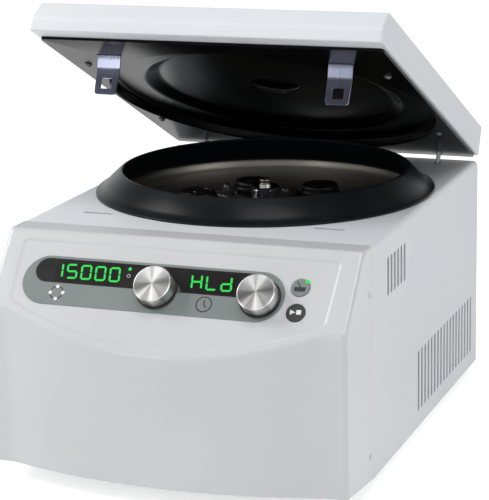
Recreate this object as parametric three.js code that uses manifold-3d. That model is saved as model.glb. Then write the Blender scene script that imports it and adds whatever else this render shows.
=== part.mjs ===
// Cytocentrifuge: a bench instrument with a hinged steel lid, a round spin chamber and a six place rotor.
// Millimetres, +X right, +Y to the back, +Z up. The lid stands open at its stop.
import * as THREE from 'three';
import { mergeVertices } from 'three/addons/utils/BufferGeometryUtils.js';
import Module from 'manifold-3d';

const wasm = await Module();
wasm.setup();

// Angles and counts
const degree = Math.PI / 180;
const quarterTurn = Math.PI / 2;
const lidOpenAngle = 26 * degree;
const panelLean = 41 * degree;
const placeCount = 6;
const wideSides = 48;
const middleSides = 24;
const roundSides = 16;
const smallSides = 8;
const bendSteps = 2;
const cornerSteps = 3;
const bowSteps = 12;
const fieldSteps = 10;

// Clearances shared by neighbouring pieces
const gap = 0.3;
const overrun = 2;

// Steel case
const caseWidth = 330;
const caseDepth = 361;
const caseHeight = 210;
const sheet = 1.5;
const bendRadius = 5;
const halfCase = caseWidth / 2;
const innerHalf = halfCase - sheet;
const ceiling = caseHeight - sheet;
const rearInside = caseDepth - sheet;

// Vent slots in both flanks
const ventWidth = 5;
const upperVentCount = 6;
const upperVentStart = 45.5;
const upperVentPitch = 10.2;
const upperVentDrop = 21;
const upperVentLength = 35.5;
const upperVentTop = caseHeight - upperVentDrop;
const upperVentBottom = upperVentTop - upperVentLength;
const lowerVentCount = 18;
const lowerVentRear = 217.5;
const lowerVentStart = caseDepth - lowerVentRear;
const lowerVentPitch = 11.35;
const lowerVentBottom = 15.5;
const lowerVentTop = 74.5;

// Spin chamber and its rubber gasket
const bowlRear = 174;
const bowlY = caseDepth - bowlRear;
const bowlRadius = 148;
const bowlTaper = 3;
const bowlWall = 1.5;
const bowlDepth = 112;
const bowlCorner = 15;
const bowlFlange = 5;
const bowlNeckRadius = 24;
const bowlNeckHeight = 8;
const openingClearance = 1;
const gasketFoot = 13.2;
const gasketOverlap = 9.5;
const gasketHeight = 21.5;
const bowlFloorRadius = bowlRadius - bowlTaper;
const bowlFlangeRadius = bowlRadius + bowlFlange;
const bowlFloor = caseHeight - bowlDepth;
const openingRadius = bowlRadius + openingClearance;
const gasketBaseRadius = openingRadius + gasketFoot;
const gasketLipRadius = bowlRadius - gasketOverlap;
const gasketLip = 2.4;
const gasketEdge = 1.6;
const gasketSkirtRun = 5.8;
const gasketSkirtRise = 4;
const gasketBow = 1.1;

// Base plate and feet
const basePlate = 2;
const baseFlange = 15;
const footHeight = 10;
const footRadius = 12;
const footToeRadius = 10.5;
const footStemRadius = 4;
const footStemTop = 4;
const footInsetX = 46;
const footFrontY = 34;
const footRearInset = 40;

// Front moulding: flat cheeks at both ends and a bow between them
const fasciaDepth = 75.5;
const fasciaBow = 22.5;
const fasciaCheek = 19;
const fasciaRise = 7.75;
const fasciaWall = 3;
const fasciaEdge = 6;
const fasciaCorner = 5;
const fasciaLedge = 24;
const fasciaReach = fasciaDepth + fasciaBow;
const seam = 0.4;

// Recessed control field: x across, s down the slope from the ledge
const fieldDepth = 1;
const fieldMargin = 17.5;
const fieldTaper = 2.5;
const fieldHalfTop = halfCase - fieldMargin;
const fieldHalfFoot = fieldHalfTop - fieldTaper;
const fieldTop = 10.5;
const fieldSide = 70;
const fieldFoot = 105;
const fieldCorner = 7;

// Label bar and dark window
const barLeftMargin = 26.7;
const barRightMargin = 60.3;
const barLeft = barLeftMargin - halfCase;
const barRight = halfCase - barRightMargin;
const barTop = 25;
const barFoot = 71.5;
const barSheet = 0.6;
const windowInset = 10;
const windowLeft = barLeft + windowInset;
const windowTop = 27.6;
const windowFoot = 50.3;
const windowSheet = 0.8;

// Turning knobs
const knobRadius = 17;
const knobTop = 14;
const knobChamfer = 0.8;
const knobMargin = 81.5;
const knobPitch = 94.1;
const timeKnobX = halfCase - knobMargin;
const speedKnobX = timeKnobX - knobPitch;
const windowRight = timeKnobX;
const knobS = 50;
const capWall = 2;
const ringRadius = 18.4;
const ringSheet = 1;
const spindleRadius = 3;
const spindleFoot = 7.6;
const encoderSize = 13;
const bushRadius = 4.6;

// Displays and board behind the field
const displayTop = 29.8;
const displayFoot = 48.2;
const displayInset = 17.3;
const speedDisplayWidth = 67;
const timeDisplayWidth = 48;
const timeDisplayGap = 22.5;
const speedDisplayLeft = windowLeft + displayInset;
const speedDisplayRight = speedDisplayLeft + speedDisplayWidth;
const timeDisplayRight = timeKnobX - timeDisplayGap;
const timeDisplayLeft = timeDisplayRight - timeDisplayWidth;
const boardFace = 9;
const boardSheet = 1.6;
const boardInset = 35;
const boardHalf = halfCase - boardInset;
const boardTop = 22;
const boardFoot = 75;

// Push buttons
const buttonRadius = 8.3;
const lidButtonMargin = 48.8;
const lidButtonX = halfCase - lidButtonMargin;
const lidButtonS = 36.7;
const startButtonMargin = 48;
const startButtonX = halfCase - startButtonMargin;
const startButtonS = 60;
const buttonTravel = 0.8;
const buttonProud = 0.8;
const buttonSkirtRadius = 10;
const buttonSkirt = 2;
const buttonStemRadius = 2.5;
const switchSize = 6;
const switchHeight = 1.1;

// Lid shell, measured from its hinge axis when closed
const lidOverhang = 13;
const lidLength = caseDepth + lidOverhang;
const lidThickness = 31;
const lidBand = 12.5;
const lidBevelRun = 13;
const lidGap = 8;
const lidRearOverhang = 3.9;
const pivotDrop = 10.4;
const pivotInset = 7;
const lidFrontFlange = 18;
const lidSideFlange = 4.5;
const lidRearFlange = 9.5;
const pivotY = caseDepth - pivotInset;
const pivotZ = caseHeight - pivotDrop;
const lidBase = lidGap + pivotDrop;
const lidFront = lidRearOverhang - lidLength;
const lidCeiling = lidBase + lidThickness - sheet;

// Lid liner: a flat sheet with a ring channel for the gasket around a raised disc
const linerSheet = 2.5;
const linerMargin = 3.5;
const linerHalf = halfCase - linerMargin;
const linerFrontInset = 16.5;
const linerRearInset = 4;
const channelOutside = 8;
const channelInside = 4;
const dishSlope = 10.8;
const discSlope = 4;
const channelOuterRadius = gasketLipRadius + channelOutside;
const channelInnerRadius = gasketLipRadius - channelInside;
const dishRadius = channelOuterRadius + dishSlope;
const discRadius = channelInnerRadius - discSlope;
const channelRise = 17.5;
const discRise = 13.5;
const portRadius = 25.5;
const portWall = 1.5;
const portFlangeRadius = 29;
const portTop = 23;
const studMargin = 16;
const studX = linerHalf - studMargin;
const studFrontRun = 91;
const studRearRun = 280;
const studRadius = 1.8;
const studNutRadius = 3.6;
const studNutHeight = 2.2;

// Latch strips and their locks
const latchMargin = 54;
const latchX = halfCase - latchMargin;
const stripWidth = 23;
const stripSheet = 1.5;
const stripRun = 62.5;
const stripLean = 2.5;
const stripBend = 15;
const stripLength = 39;
const stripFoot = 20;
const stripCorner = 3;
const stripWindowWidth = 13.5;
const stripWindowTop = 23.4;
const stripWindowFoot = 33.4;
const caseSlotLength = 30;
const caseSlotWidth = 5;
const lockHalfWidth = 16;
const lockFront = 0.6;
const lockBack = 42;
const lockDrop = 32;
const lockFoot = caseHeight - lockDrop;
const lockBoltWidth = 9;
const lockBoltHeight = 6.5;
const lockBoltTip = 1.5;
const lockBarFront = 6;
const lockBarBack = 11;
const lockTravel = 8;
const lockBeamBack = 24;
const lockDriveHalf = 22;
const lockDriveDrop = 26;
const lockDriveFoot = lockFoot - lockDriveDrop;

// Hinge
const hingeMargin = 38;
const hingeX = halfCase - hingeMargin;
const armSheet = 3;
const armFront = 14.5;
const armDepth = 8;
const armBoss = 4.8;
const stiffenerMargin = 25;
const stiffenerHalf = halfCase - stiffenerMargin;
const stiffenerFront = 30;
const hingePinRadius = 2.4;
const earSheet = 2;
const earGap = 0.5;
const bracketFront = 8;
const bracketFoot = 9;
const bracketWeb = 2.5;
const armSlotFront = 16;
const armSlotBack = 0.5;
const armSlotWidth = 6;

// Motor
const motorFlangeRadius = 75;
const motorFlangeFoot = 14;
const motorFlangeSheet = 4;
const motorRadius = 52;
const motorBowlGap = 14;
const motorNeckRadius = 20;
const motorNeckRise = 2;
const motorTop = bowlFloor - motorBowlGap;
const motorNeckTop = bowlFloor + motorNeckRise;
const mountInner = 56;
const mountOuter = 70;
const shaftRadius = 8;
const shaftFoot = 32;
const shaftClearance = 0.5;

// Rotor
const bucketCircle = 70;
const trunnionDrop = 22;
const trunnionZ = caseHeight - trunnionDrop;
const headHubRadius = 20;
const headHalf = 10;
const headFoot = trunnionZ - headHalf;
const headTop = trunnionZ + headHalf;
const armHalfWidth = 7;
const armReach = 80;
const armHalfHeight = 6;
const armTop = trunnionZ + armHalfHeight;
const collarRadius = 12.6;
const collarHeight = 8;
const collarTop = headTop + collarHeight;
const screwRadius = 5.2;
const screwHeight = 13;
const screwTop = collarTop + screwHeight;
const screwStemRadius = 3.6;
const screwStemReach = 10;
const screwStemFoot = headFoot - screwStemReach;
const rotorBoltCircle = 59;
const rotorBoltRadius = 4.6;
const rotorBoltHeight = 11;
const rotorBoltTop = armTop + rotorBoltHeight;
const trunnionRadius = 3;
const trunnionInner = 16;
const trunnionOuter = 37;

// Buckets and caps
const bucketRadius = 17;
const bucketBore = 14;
const bucketCollarRadius = 18.6;
const bucketCollarBelow = 6;
const bucketCollarAbove = 4;
const bucketRimRise = 12;
const bucketReach = 54;
const bucketBase = 4;
const bucketCollarFoot = trunnionZ - bucketCollarBelow;
const bucketCollarTop = trunnionZ + bucketCollarAbove;
const bucketRim = trunnionZ + bucketRimRise;
const bucketToeRadius = 14.5;
const bucketToe = trunnionZ - bucketReach;
const bucketFloor = bucketToe + bucketBase;
const capRadius = 20;
const capCrown = 3;
const capTop = bucketRim + capCrown;
const capChamfer = 1.6;

// Rear panel pieces
const inletMargin = 70;
const inletX = halfCase - inletMargin;
const inletZ = 38;
const inletWidth = 28;
const inletHeight = 21;
const inletDepth = 22;
const inletFlangeX = 25;
const inletFlangeZ = 12.5;
const inletFlangeSheet = 2.5;
const socketWidth = 24;
const socketHeight = 16;
const socketDepth = 18;
const bladeWidth = 4;
const bladeSheet = 2;
const bladeLength = 11;
const bladePitch = 7;
const switchPitch = 50;
const switchX = inletX - switchPitch;
const switchWidth = 19;
const switchTall = 21;
const switchDepth = 14;
const switchFlangeX = 12;
const switchFlangeZ = 13;
const switchFlangeSheet = 2;
const rockerWidth = 13;
const rockerTall = 16;
const rockerDepth = 5;
const rockerTilt = 8 * degree;
const rearVentCount = 12;
const rearVentPitch = 9;
const rearVentMargin = 55;
const rearVentX = rearVentMargin - halfCase;
const rearVentFoot = 30;
const rearVentTop = 75;
const panelScrewRadius = 3;
const panelScrewHead = 0.8;
const panelScrewShank = 1.5;
const panelScrewReach = 6;

// Front plate and fascia screws
const frontPlateFoot = 6;
const frontPlateDrop = 12;
const frontPlateTop = caseHeight - frontPlateDrop;
const frontTab = 18;
const fasciaScrewY = -9;
const fasciaScrewLow = 23.4;
const fasciaScrewDrop = 41;
const fasciaScrewHigh = caseHeight - fasciaScrewDrop;

// Drive board in the base
const driveLeft = -75;
const driveRight = 60;
const driveRear = 11;
const driveLength = 65;
const driveBack = caseDepth - driveRear;
const driveFront = driveBack - driveLength;
const driveZ = 9;
const driveFootRadius = 3;
const coilWidth = 44;
const coilHeight = 34;
const coilDepth = 40;
const sinkHeight = 22;
const sinkSheet = 3;
const sinkFinCount = 5;
const sinkPitch = 9;

// Materials
const paint = (color, roughness, metalness) =>
  new THREE.MeshStandardMaterial({ color, roughness, metalness });
const whiteLacquer = paint('#dde2e5', 0.45, 0);
const greyMoulding = paint('#d0d2d5', 0.5, 0);
const greyLabel = paint('#8c9492', 0.5, 0);
const darkWindow = paint('#2c2a2b', 0.2, 0);
const blackPlastic = paint('#1b1c1d', 0.3, 0);
const blackRubber = paint('#151617', 0.55, 0);
const brightSteel = paint('#c3c5c7', 0.28, 1);
const turnedAluminium = paint('#cfcdc8', 0.3, 1);
const zincSteel = paint('#a9adb0', 0.45, 1);
const circuitGreen = paint('#1f5a3a', 0.5, 0);
const castAluminium = paint('#8b8e90', 0.5, 1);

// Turns a closed geometry into a solid for cutting and joining
function solid(geometry) {
  const bare = geometry.clone();
  bare.deleteAttribute('normal');
  bare.deleteAttribute('uv');
  const merged = mergeVertices(bare);
  const corners = merged.index.array;
  const kept = [];
  for (let i = 0; i < corners.length; i += 3) {
    const [a, b, c] = [corners[i], corners[i + 1], corners[i + 2]];
    if (a !== b && b !== c && c !== a) kept.push(a, b, c);
  }
  return new wasm.Manifold(new wasm.Mesh({
    numProp: 3,
    vertProperties: new Float32Array(merged.attributes.position.array),
    triVerts: new Uint32Array(kept),
  }));
}

// Gives a solid back as a plain geometry
function geometryOf(body) {
  const mesh = body.getMesh();
  const geometry = new THREE.BufferGeometry();
  geometry.setAttribute('position', new THREE.BufferAttribute(new Float32Array(mesh.vertProperties), 3));
  geometry.setIndex(new THREE.BufferAttribute(new Uint32Array(mesh.triVerts), 1));
  geometry.computeVertexNormals();
  return geometry;
}

// One named piece
function piece(name, body, material) {
  const mesh = new THREE.Mesh(geometryOf(body), material);
  mesh.name = name;
  return mesh;
}

const joined = (bodies) => bodies.reduce((whole, body) => whole.add(body));
const cutBy = (body, tools) => tools.reduce((rest, tool) => rest.subtract(tool), body);

// Block between two corners
function block(x0, x1, y0, y1, z0, z1) {
  const geometry = new THREE.BoxGeometry(x1 - x0, y1 - y0, z1 - z0);
  geometry.translate((x0 + x1) / 2, (y0 + y1) / 2, (z0 + z1) / 2);
  return solid(geometry);
}

// Outline extruded along each axis: (x, y) up Z, (x, z) along Y and (y, z) along X
function alongZ(shape, z0, z1) {
  const geometry = new THREE.ExtrudeGeometry(shape, { depth: z1 - z0, bevelEnabled: false, curveSegments: bendSteps });
  geometry.translate(0, 0, z0);
  return solid(geometry);
}
function alongY(shape, y0, y1) {
  const geometry = new THREE.ExtrudeGeometry(shape, { depth: y1 - y0, bevelEnabled: false, curveSegments: bendSteps });
  geometry.rotateX(quarterTurn);
  geometry.translate(0, y1, 0);
  return solid(geometry);
}
function alongX(shape, x0, x1) {
  const geometry = new THREE.ExtrudeGeometry(shape, { depth: x1 - x0, bevelEnabled: false, curveSegments: bendSteps });
  geometry.rotateX(quarterTurn);
  geometry.rotateZ(quarterTurn);
  geometry.translate(x0, 0, 0);
  return solid(geometry);
}

// Round bar along Z, X or Y about a point
function barZ(radius, z0, z1, x, y, sides) {
  const geometry = new THREE.CylinderGeometry(radius, radius, z1 - z0, sides);
  geometry.rotateX(quarterTurn);
  geometry.translate(x, y, (z0 + z1) / 2);
  return solid(geometry);
}
function barX(radius, x0, x1, y, z, sides) {
  const geometry = new THREE.CylinderGeometry(radius, radius, x1 - x0, sides);
  geometry.rotateZ(quarterTurn);
  geometry.translate((x0 + x1) / 2, y, z);
  return solid(geometry);
}
function barY(radius, y0, y1, x, z, sides) {
  const geometry = new THREE.CylinderGeometry(radius, radius, y1 - y0, sides);
  geometry.translate(x, (y0 + y1) / 2, z);
  return solid(geometry);
}

// Turned body about Z from a closed outline of [radius, z] points
function turned(points, x, y, sides) {
  const outline = points.map(([radius, z]) => new THREE.Vector2(radius, z));
  if (THREE.ShapeUtils.area(outline) < 0) outline.reverse();
  outline.push(outline[0].clone());
  const geometry = new THREE.LatheGeometry(outline, sides);
  geometry.rotateX(quarterTurn);
  geometry.translate(x, y, 0);
  return solid(geometry);
}

const polygon = (points) => new THREE.Shape(points.map(([a, b]) => new THREE.Vector2(a, b)));

// Moves each side of a convex counter-clockwise outline inwards
function inset(points, distance) {
  const count = points.length;
  const sides = points.map((start, i) => {
    const end = points[(i + 1) % count];
    const length = Math.hypot(end[0] - start[0], end[1] - start[1]);
    const direction = [(end[0] - start[0]) / length, (end[1] - start[1]) / length];
    const moved = [start[0] - direction[1] * distance, start[1] + direction[0] * distance];
    return { moved, direction };
  });
  return sides.map((side, i) => {
    const before = sides[(i + count - 1) % count];
    const across = before.direction[0] * side.direction[1] - before.direction[1] * side.direction[0];
    const apart = [side.moved[0] - before.moved[0], side.moved[1] - before.moved[1]];
    const along = (apart[0] * side.direction[1] - apart[1] * side.direction[0]) / across;
    return [before.moved[0] + before.direction[0] * along, before.moved[1] + before.direction[1] * along];
  });
}

// Arch outline: flat foot, upright sides and rounded shoulders
function arch(half, foot, top, radius) {
  const shape = new THREE.Shape();
  shape.moveTo(-half, foot);
  shape.lineTo(half, foot);
  shape.lineTo(half, top - radius);
  shape.absarc(half - radius, top - radius, radius, 0, quarterTurn, false);
  shape.absarc(radius - half, top - radius, radius, quarterTurn, 2 * quarterTurn, false);
  return shape;
}

// Slot outline with round ends, upright in its plane
function uprightSlot(centre, foot, top, width) {
  const half = width / 2;
  const flat = half * Math.tan(quarterTurn / 4);
  const rise = half - flat;
  return polygon([
    [centre - flat, foot], [centre + flat, foot], [centre + half, foot + rise], [centre + half, top - rise],
    [centre + flat, top], [centre - flat, top], [centre - half, top - rise], [centre - half, foot + rise],
  ]);
}

// Sheet metal ribbon of even thickness to the left of a bent line
function ribbon(line, thickness) {
  const count = line.length;
  const directions = line.slice(1).map((end, i) => {
    const start = line[i];
    const length = Math.hypot(end[0] - start[0], end[1] - start[1]);
    return [(end[0] - start[0]) / length, (end[1] - start[1]) / length];
  });
  const offset = line.map((point, i) => {
    const before = directions[Math.max(i - 1, 0)];
    const after = directions[Math.min(i, count - 2)];
    const share = 1 + before[0] * after[0] + before[1] * after[1];
    const normal = [-(before[1] + after[1]) / share, (before[0] + after[0]) / share];
    return [point[0] + normal[0] * thickness, point[1] + normal[1] * thickness];
  });
  return polygon([...line, ...offset.reverse()]);
}

// Case: base plate, wrapped cover, rear panel and front plate
function basePlateBody() {
  const half = innerHalf - gap;
  const back = rearInside - gap;
  const tray = cutBy(block(-half, half, gap, back, 0, baseFlange), [
    block(sheet - half, half - sheet, -overrun, back - sheet, basePlate, baseFlange + overrun),
  ]);
  const stemHoles = footPlaces().map(([x, y]) =>
    barZ(footStemRadius + gap, -overrun, basePlate + overrun, x, y, smallSides));
  return cutBy(tray, stemHoles);
}

function footPlaces() {
  const x = halfCase - footInsetX;
  return [[-x, footFrontY], [x, footFrontY], [-x, caseDepth - footRearInset], [x, caseDepth - footRearInset]];
}

function rubberFoot([x, y]) {
  return turned([
    [0, -footHeight], [footToeRadius, -footHeight], [footRadius, -gap],
    [footStemRadius, -gap], [footStemRadius, footStemTop], [0, footStemTop],
  ], x, y, smallSides);
}

function ventShapes() {
  const shapes = [];
  for (let i = 0; i < upperVentCount; i += 1) {
    shapes.push(uprightSlot(upperVentStart + i * upperVentPitch, upperVentBottom, upperVentTop, ventWidth));
  }
  for (let i = 0; i < lowerVentCount; i += 1) {
    shapes.push(uprightSlot(lowerVentStart + i * lowerVentPitch, lowerVentBottom, lowerVentTop, ventWidth));
  }
  return shapes;
}

// Where the latch strip passes the case top when the lid is down
const latchSlotY = pivotY + lidFront + stripRun;

function caseCover() {
  const outside = alongY(arch(halfCase, 0, caseHeight, bendRadius), 0, caseDepth);
  const inside = alongY(arch(innerHalf, -overrun, ceiling, bendRadius - sheet), -overrun, caseDepth + overrun);
  const vents = ventShapes().map((shape) => alongX(shape, -halfCase - overrun, halfCase + overrun));
  const mouth = barZ(openingRadius, ceiling - overrun, caseHeight + overrun, 0, bowlY, wideSides);
  const slots = [-1, 1].flatMap((side) => [
    block(
      side * latchX - caseSlotLength / 2, side * latchX + caseSlotLength / 2,
      latchSlotY - caseSlotWidth / 2, latchSlotY + caseSlotWidth / 2,
      ceiling - overrun, caseHeight + overrun,
    ),
    block(
      side * hingeX - armSlotWidth / 2, side * hingeX + armSlotWidth / 2,
      pivotY - armSlotFront, pivotY - armSlotBack,
      ceiling - overrun, caseHeight + overrun,
    ),
  ]);
  return cutBy(outside, [inside, ...vents, mouth, ...slots]);
}

function rearPanel() {
  const plate = alongY(arch(innerHalf - gap, 0, ceiling - gap, bendRadius - sheet), rearInside, caseDepth);
  const through = [rearInside - overrun, caseDepth + overrun];
  const inletHole = block(
    inletX - inletWidth / 2 - gap, inletX + inletWidth / 2 + gap, ...through,
    inletZ - inletHeight / 2 - gap, inletZ + inletHeight / 2 + gap,
  );
  const switchHole = block(
    switchX - switchWidth / 2 - gap, switchX + switchWidth / 2 + gap, ...through,
    inletZ - switchTall / 2 - gap, inletZ + switchTall / 2 + gap,
  );
  const vents = [];
  for (let i = 0; i < rearVentCount; i += 1) {
    vents.push(alongY(uprightSlot(rearVentX + i * rearVentPitch, rearVentFoot, rearVentTop, ventWidth), ...through));
  }
  return cutBy(plate, [inletHole, switchHole, ...vents]);
}

function frontPlate() {
  const half = halfCase - fasciaWall - gap;
  const line = [[-half, -frontTab], [-half, -gap - seam], [half, -gap - seam], [half, -frontTab]];
  const wall = alongZ(ribbon(line.reverse(), sheet), frontPlateFoot, frontPlateTop);
  return cutBy(wall, fasciaScrewBars(panelScrewShank + gap));
}

// Front moulding: a bowed plan, a leaning control face and rounded shoulders, hollow and open at the back
function sideProfile(back) {
  const drop = (fasciaReach + overrun - fasciaLedge) / Math.tan(panelLean);
  return [
    [back, caseHeight], [-fasciaLedge, caseHeight], [-fasciaReach - overrun, caseHeight - drop],
    [-fasciaReach - overrun, fasciaRise], [-fasciaDepth, fasciaRise], [back, 0],
  ];
}

function bowedPlan(back, inwards) {
  const half = halfCase - inwards;
  const cheek = inwards - fasciaDepth;
  const cheeks = new THREE.Shape();
  cheeks.moveTo(half, back);
  cheeks.lineTo(half, cheek + fasciaCorner);
  cheeks.quadraticCurveTo(half, cheek, half - fasciaCorner, cheek);
  cheeks.lineTo(fasciaCorner - half, cheek);
  cheeks.quadraticCurveTo(-half, cheek, -half, cheek + fasciaCorner);
  cheeks.lineTo(-half, back);
  const bowHalf = halfCase - fasciaCheek;
  const bowRadius = (bowHalf * bowHalf + fasciaBow * fasciaBow) / (2 * fasciaBow);
  const centre = bowRadius - fasciaReach;
  const radius = bowRadius - inwards;
  const sweep = Math.acos((centre - cheek - overrun) / radius);
  const bow = [];
  for (let i = 0; i <= bowSteps; i += 1) {
    const angle = (sweep * (2 * i - bowSteps)) / bowSteps;
    bow.push([radius * Math.sin(angle), centre - radius * Math.cos(angle)]);
  }
  return joined([cheeks, polygon(bow)].map((shape) => alongZ(shape, -overrun, caseHeight + overrun)));
}

function mouldingBody(back, inwards) {
  const outline = inset(sideProfile(back + inwards), inwards);
  const profile = alongX(polygon(outline), -halfCase - overrun, halfCase + overrun);
  const front = alongY(
    arch(halfCase - inwards, -overrun, caseHeight - inwards, fasciaEdge), -fasciaReach - overrun, back + overrun,
  );
  return bowedPlan(back, inwards).intersect(profile).intersect(front);
}

// Places a body from the control face's own axes: x across, y up the slope, z outwards
function ontoSlope(body) {
  return body.rotate([(quarterTurn - panelLean) / degree, 0, 0]).translate([0, -fasciaLedge, caseHeight]);
}

function fieldShape() {
  const shape = new THREE.Shape();
  shape.moveTo(-fieldHalfTop + fieldCorner, -fieldTop);
  shape.quadraticCurveTo(-fieldHalfTop, -fieldTop, -fieldHalfTop, -fieldTop - fieldCorner);
  shape.lineTo(-fieldHalfFoot, -fieldSide + fieldCorner);
  const radius = (fieldHalfFoot * fieldHalfFoot + (fieldFoot - fieldSide) ** 2) / (2 * (fieldFoot - fieldSide));
  const centre = radius - fieldFoot;
  const half = Math.asin(fieldHalfFoot / radius);
  for (let i = 0; i <= fieldSteps; i += 1) {
    const angle = -half + (2 * half * i) / fieldSteps;
    shape.lineTo(radius * Math.sin(angle), centre - radius * Math.cos(angle));
  }
  shape.lineTo(fieldHalfFoot, -fieldSide + fieldCorner);
  shape.lineTo(fieldHalfTop, -fieldTop - fieldCorner);
  shape.quadraticCurveTo(fieldHalfTop, -fieldTop, fieldHalfTop - fieldCorner, -fieldTop);
  return shape;
}

const knobPlaces = { speed: speedKnobX, time: timeKnobX };
const buttonPlaces = { lid: [lidButtonX, lidButtonS], start: [startButtonX, startButtonS] };

function displayOpening(left, right, grow) {
  return block(left - grow, right + grow, -displayFoot - grow, -displayTop + grow, -fasciaWall - overrun, overrun);
}

function frontFascia() {
  const shell = mouldingBody(-seam, 0).subtract(mouldingBody(overrun, fasciaWall));
  const field = alongZ(fieldShape(), -fieldDepth, overrun);
  const depth = [-fasciaWall - overrun, overrun];
  const knobHoles = Object.values(knobPlaces).map((x) => barZ(bushRadius + gap, ...depth, x, -knobS, middleSides));
  const buttonHoles = Object.values(buttonPlaces).map(([x, s]) =>
    barZ(buttonRadius + gap, ...depth, x, -s, middleSides));
  const windows = [
    displayOpening(speedDisplayLeft, speedDisplayRight, gap),
    displayOpening(timeDisplayLeft, timeDisplayRight, gap),
  ];
  const cuts = [field, ...knobHoles, ...buttonHoles, ...windows].map(ontoSlope);
  return cutBy(shell, [...cuts, ...fasciaScrewBars(panelScrewShank + gap)]);
}

function fasciaScrewBars(radius) {
  return [fasciaScrewLow, fasciaScrewHigh].map((z) =>
    barX(radius, -halfCase - overrun, halfCase + overrun, fasciaScrewY, z, smallSides));
}

function fasciaScrew(side, z) {
  const face = side * (halfCase + gap);
  const rim = side * (halfCase + gap + panelScrewHead);
  const root = side * (halfCase - panelScrewReach);
  const head = barX(panelScrewRadius, Math.min(face, rim), Math.max(face, rim), fasciaScrewY, z, smallSides);
  const shank = barX(panelScrewShank, Math.min(root, rim), Math.max(root, rim), fasciaScrewY, z, smallSides);
  return head.add(shank);
}

// Control field pieces, in the control face's own axes
const fieldFloor = -fieldDepth + gap;

function stadium(left, right, top, foot, squareRight) {
  const radius = (foot - top) / 2;
  const shape = new THREE.Shape();
  shape.absarc(left + radius, -top - radius, radius, quarterTurn, 3 * quarterTurn, false);
  if (squareRight) {
    shape.lineTo(right, -foot);
    shape.lineTo(right, -top);
  } else {
    shape.absarc(right - radius, -top - radius, radius, -quarterTurn, quarterTurn, false);
  }
  return shape;
}

function roundedStadium(left, right, top, foot, squareRight, z0, z1) {
  const geometry = new THREE.ExtrudeGeometry(stadium(left, right, top, foot, squareRight), {
    depth: z1 - z0,
    bevelEnabled: false,
    curveSegments: cornerSteps * 2,
  });
  geometry.translate(0, 0, z0);
  return solid(geometry);
}

function labelBar() {
  const top = fieldFloor + barSheet;
  const sheetBody = roundedStadium(barLeft, barRight, barTop, barFoot, false, fieldFloor, top);
  const windowCut = roundedStadium(
    windowLeft - gap, windowRight + gap, windowTop - gap, windowFoot + gap, true, fieldFloor - overrun, top + overrun,
  );
  const holes = Object.values(knobPlaces).map((x) =>
    barZ(bushRadius + gap, fieldFloor - overrun, top + overrun, x, -knobS, middleSides));
  const buttonHoles = Object.values(buttonPlaces).map(([x, s]) =>
    barZ(buttonRadius + gap, fieldFloor - overrun, top + overrun, x, -s, middleSides));
  return cutBy(sheetBody, [windowCut, ...holes, ...buttonHoles]);
}

function displayWindow() {
  const top = fieldFloor + windowSheet;
  const pane = roundedStadium(windowLeft, windowRight, windowTop, windowFoot, true, fieldFloor, top);
  const holes = Object.values(knobPlaces).map((x) =>
    barZ(bushRadius + gap, fieldFloor - overrun, top + overrun, x, -knobS, middleSides));
  return cutBy(pane, holes);
}

function controlBoard() {
  const top = -boardFace + gap;
  const board = block(-boardHalf, boardHalf, -boardFoot, -boardTop, -boardFace - boardSheet, top);
  const switchHalf = switchSize / 2;
  const switches = Object.values(buttonPlaces).map(([x, s]) =>
    block(x - switchHalf, x + switchHalf, -s - switchHalf, switchHalf - s, -boardFace, top + switchHeight));
  const encoderHalf = encoderSize / 2;
  const encoders = Object.values(knobPlaces).map((x) => {
    const body = block(x - encoderHalf, x + encoderHalf, -knobS - encoderHalf, encoderHalf - knobS,
      -boardFace, -fasciaWall - gap);
    const bush = barZ(bushRadius, -fasciaWall - gap * 2, fieldFloor, x, -knobS, smallSides);
    const bore = barZ(spindleRadius + gap, -spindleFoot - gap, overrun, x, -knobS, smallSides);
    return body.add(bush).subtract(bore);
  });
  const displays = [[speedDisplayLeft, speedDisplayRight], [timeDisplayLeft, timeDisplayRight]].map(([left, right]) =>
    block(left, right, -displayFoot, -displayTop, -boardFace, -fieldDepth - gap));
  return joined([board, ...switches, ...encoders, ...displays]);
}

// Knob: a dark body with its skirt and spindle, under a turned cap
function knobBody(x) {
  const foot = fieldFloor + windowSheet + gap;
  const core = knobRadius - capWall;
  return turned([
    [0, -spindleFoot], [spindleRadius, -spindleFoot], [spindleRadius, foot], [ringRadius, foot],
    [ringRadius, foot + ringSheet], [core - gap, foot + ringSheet], [core - gap, knobTop - capWall - gap],
    [0, knobTop - capWall - gap],
  ], x, -knobS, middleSides);
}

function knobCap(x) {
  const foot = fieldFloor + windowSheet + gap * 2 + ringSheet;
  const core = knobRadius - capWall;
  return turned([
    [core, foot], [knobRadius, foot], [knobRadius, knobTop - knobChamfer], [knobRadius - knobChamfer, knobTop],
    [0, knobTop], [0, knobTop - capWall], [core, knobTop - capWall],
  ], x, -knobS, middleSides);
}

function pushButton([x, s]) {
  const top = -fieldDepth + buttonProud;
  const skirtTop = -fasciaWall - gap;
  const stemFoot = -boardFace + switchHeight + gap * 2 + buttonTravel;
  return turned([
    [0, top], [buttonRadius, top], [buttonRadius, skirtTop], [buttonSkirtRadius, skirtTop],
    [buttonSkirtRadius, skirtTop - buttonSkirt], [buttonStemRadius, skirtTop - buttonSkirt],
    [buttonStemRadius, stemFoot], [0, stemFoot],
  ], x, -s, middleSides);
}

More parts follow.
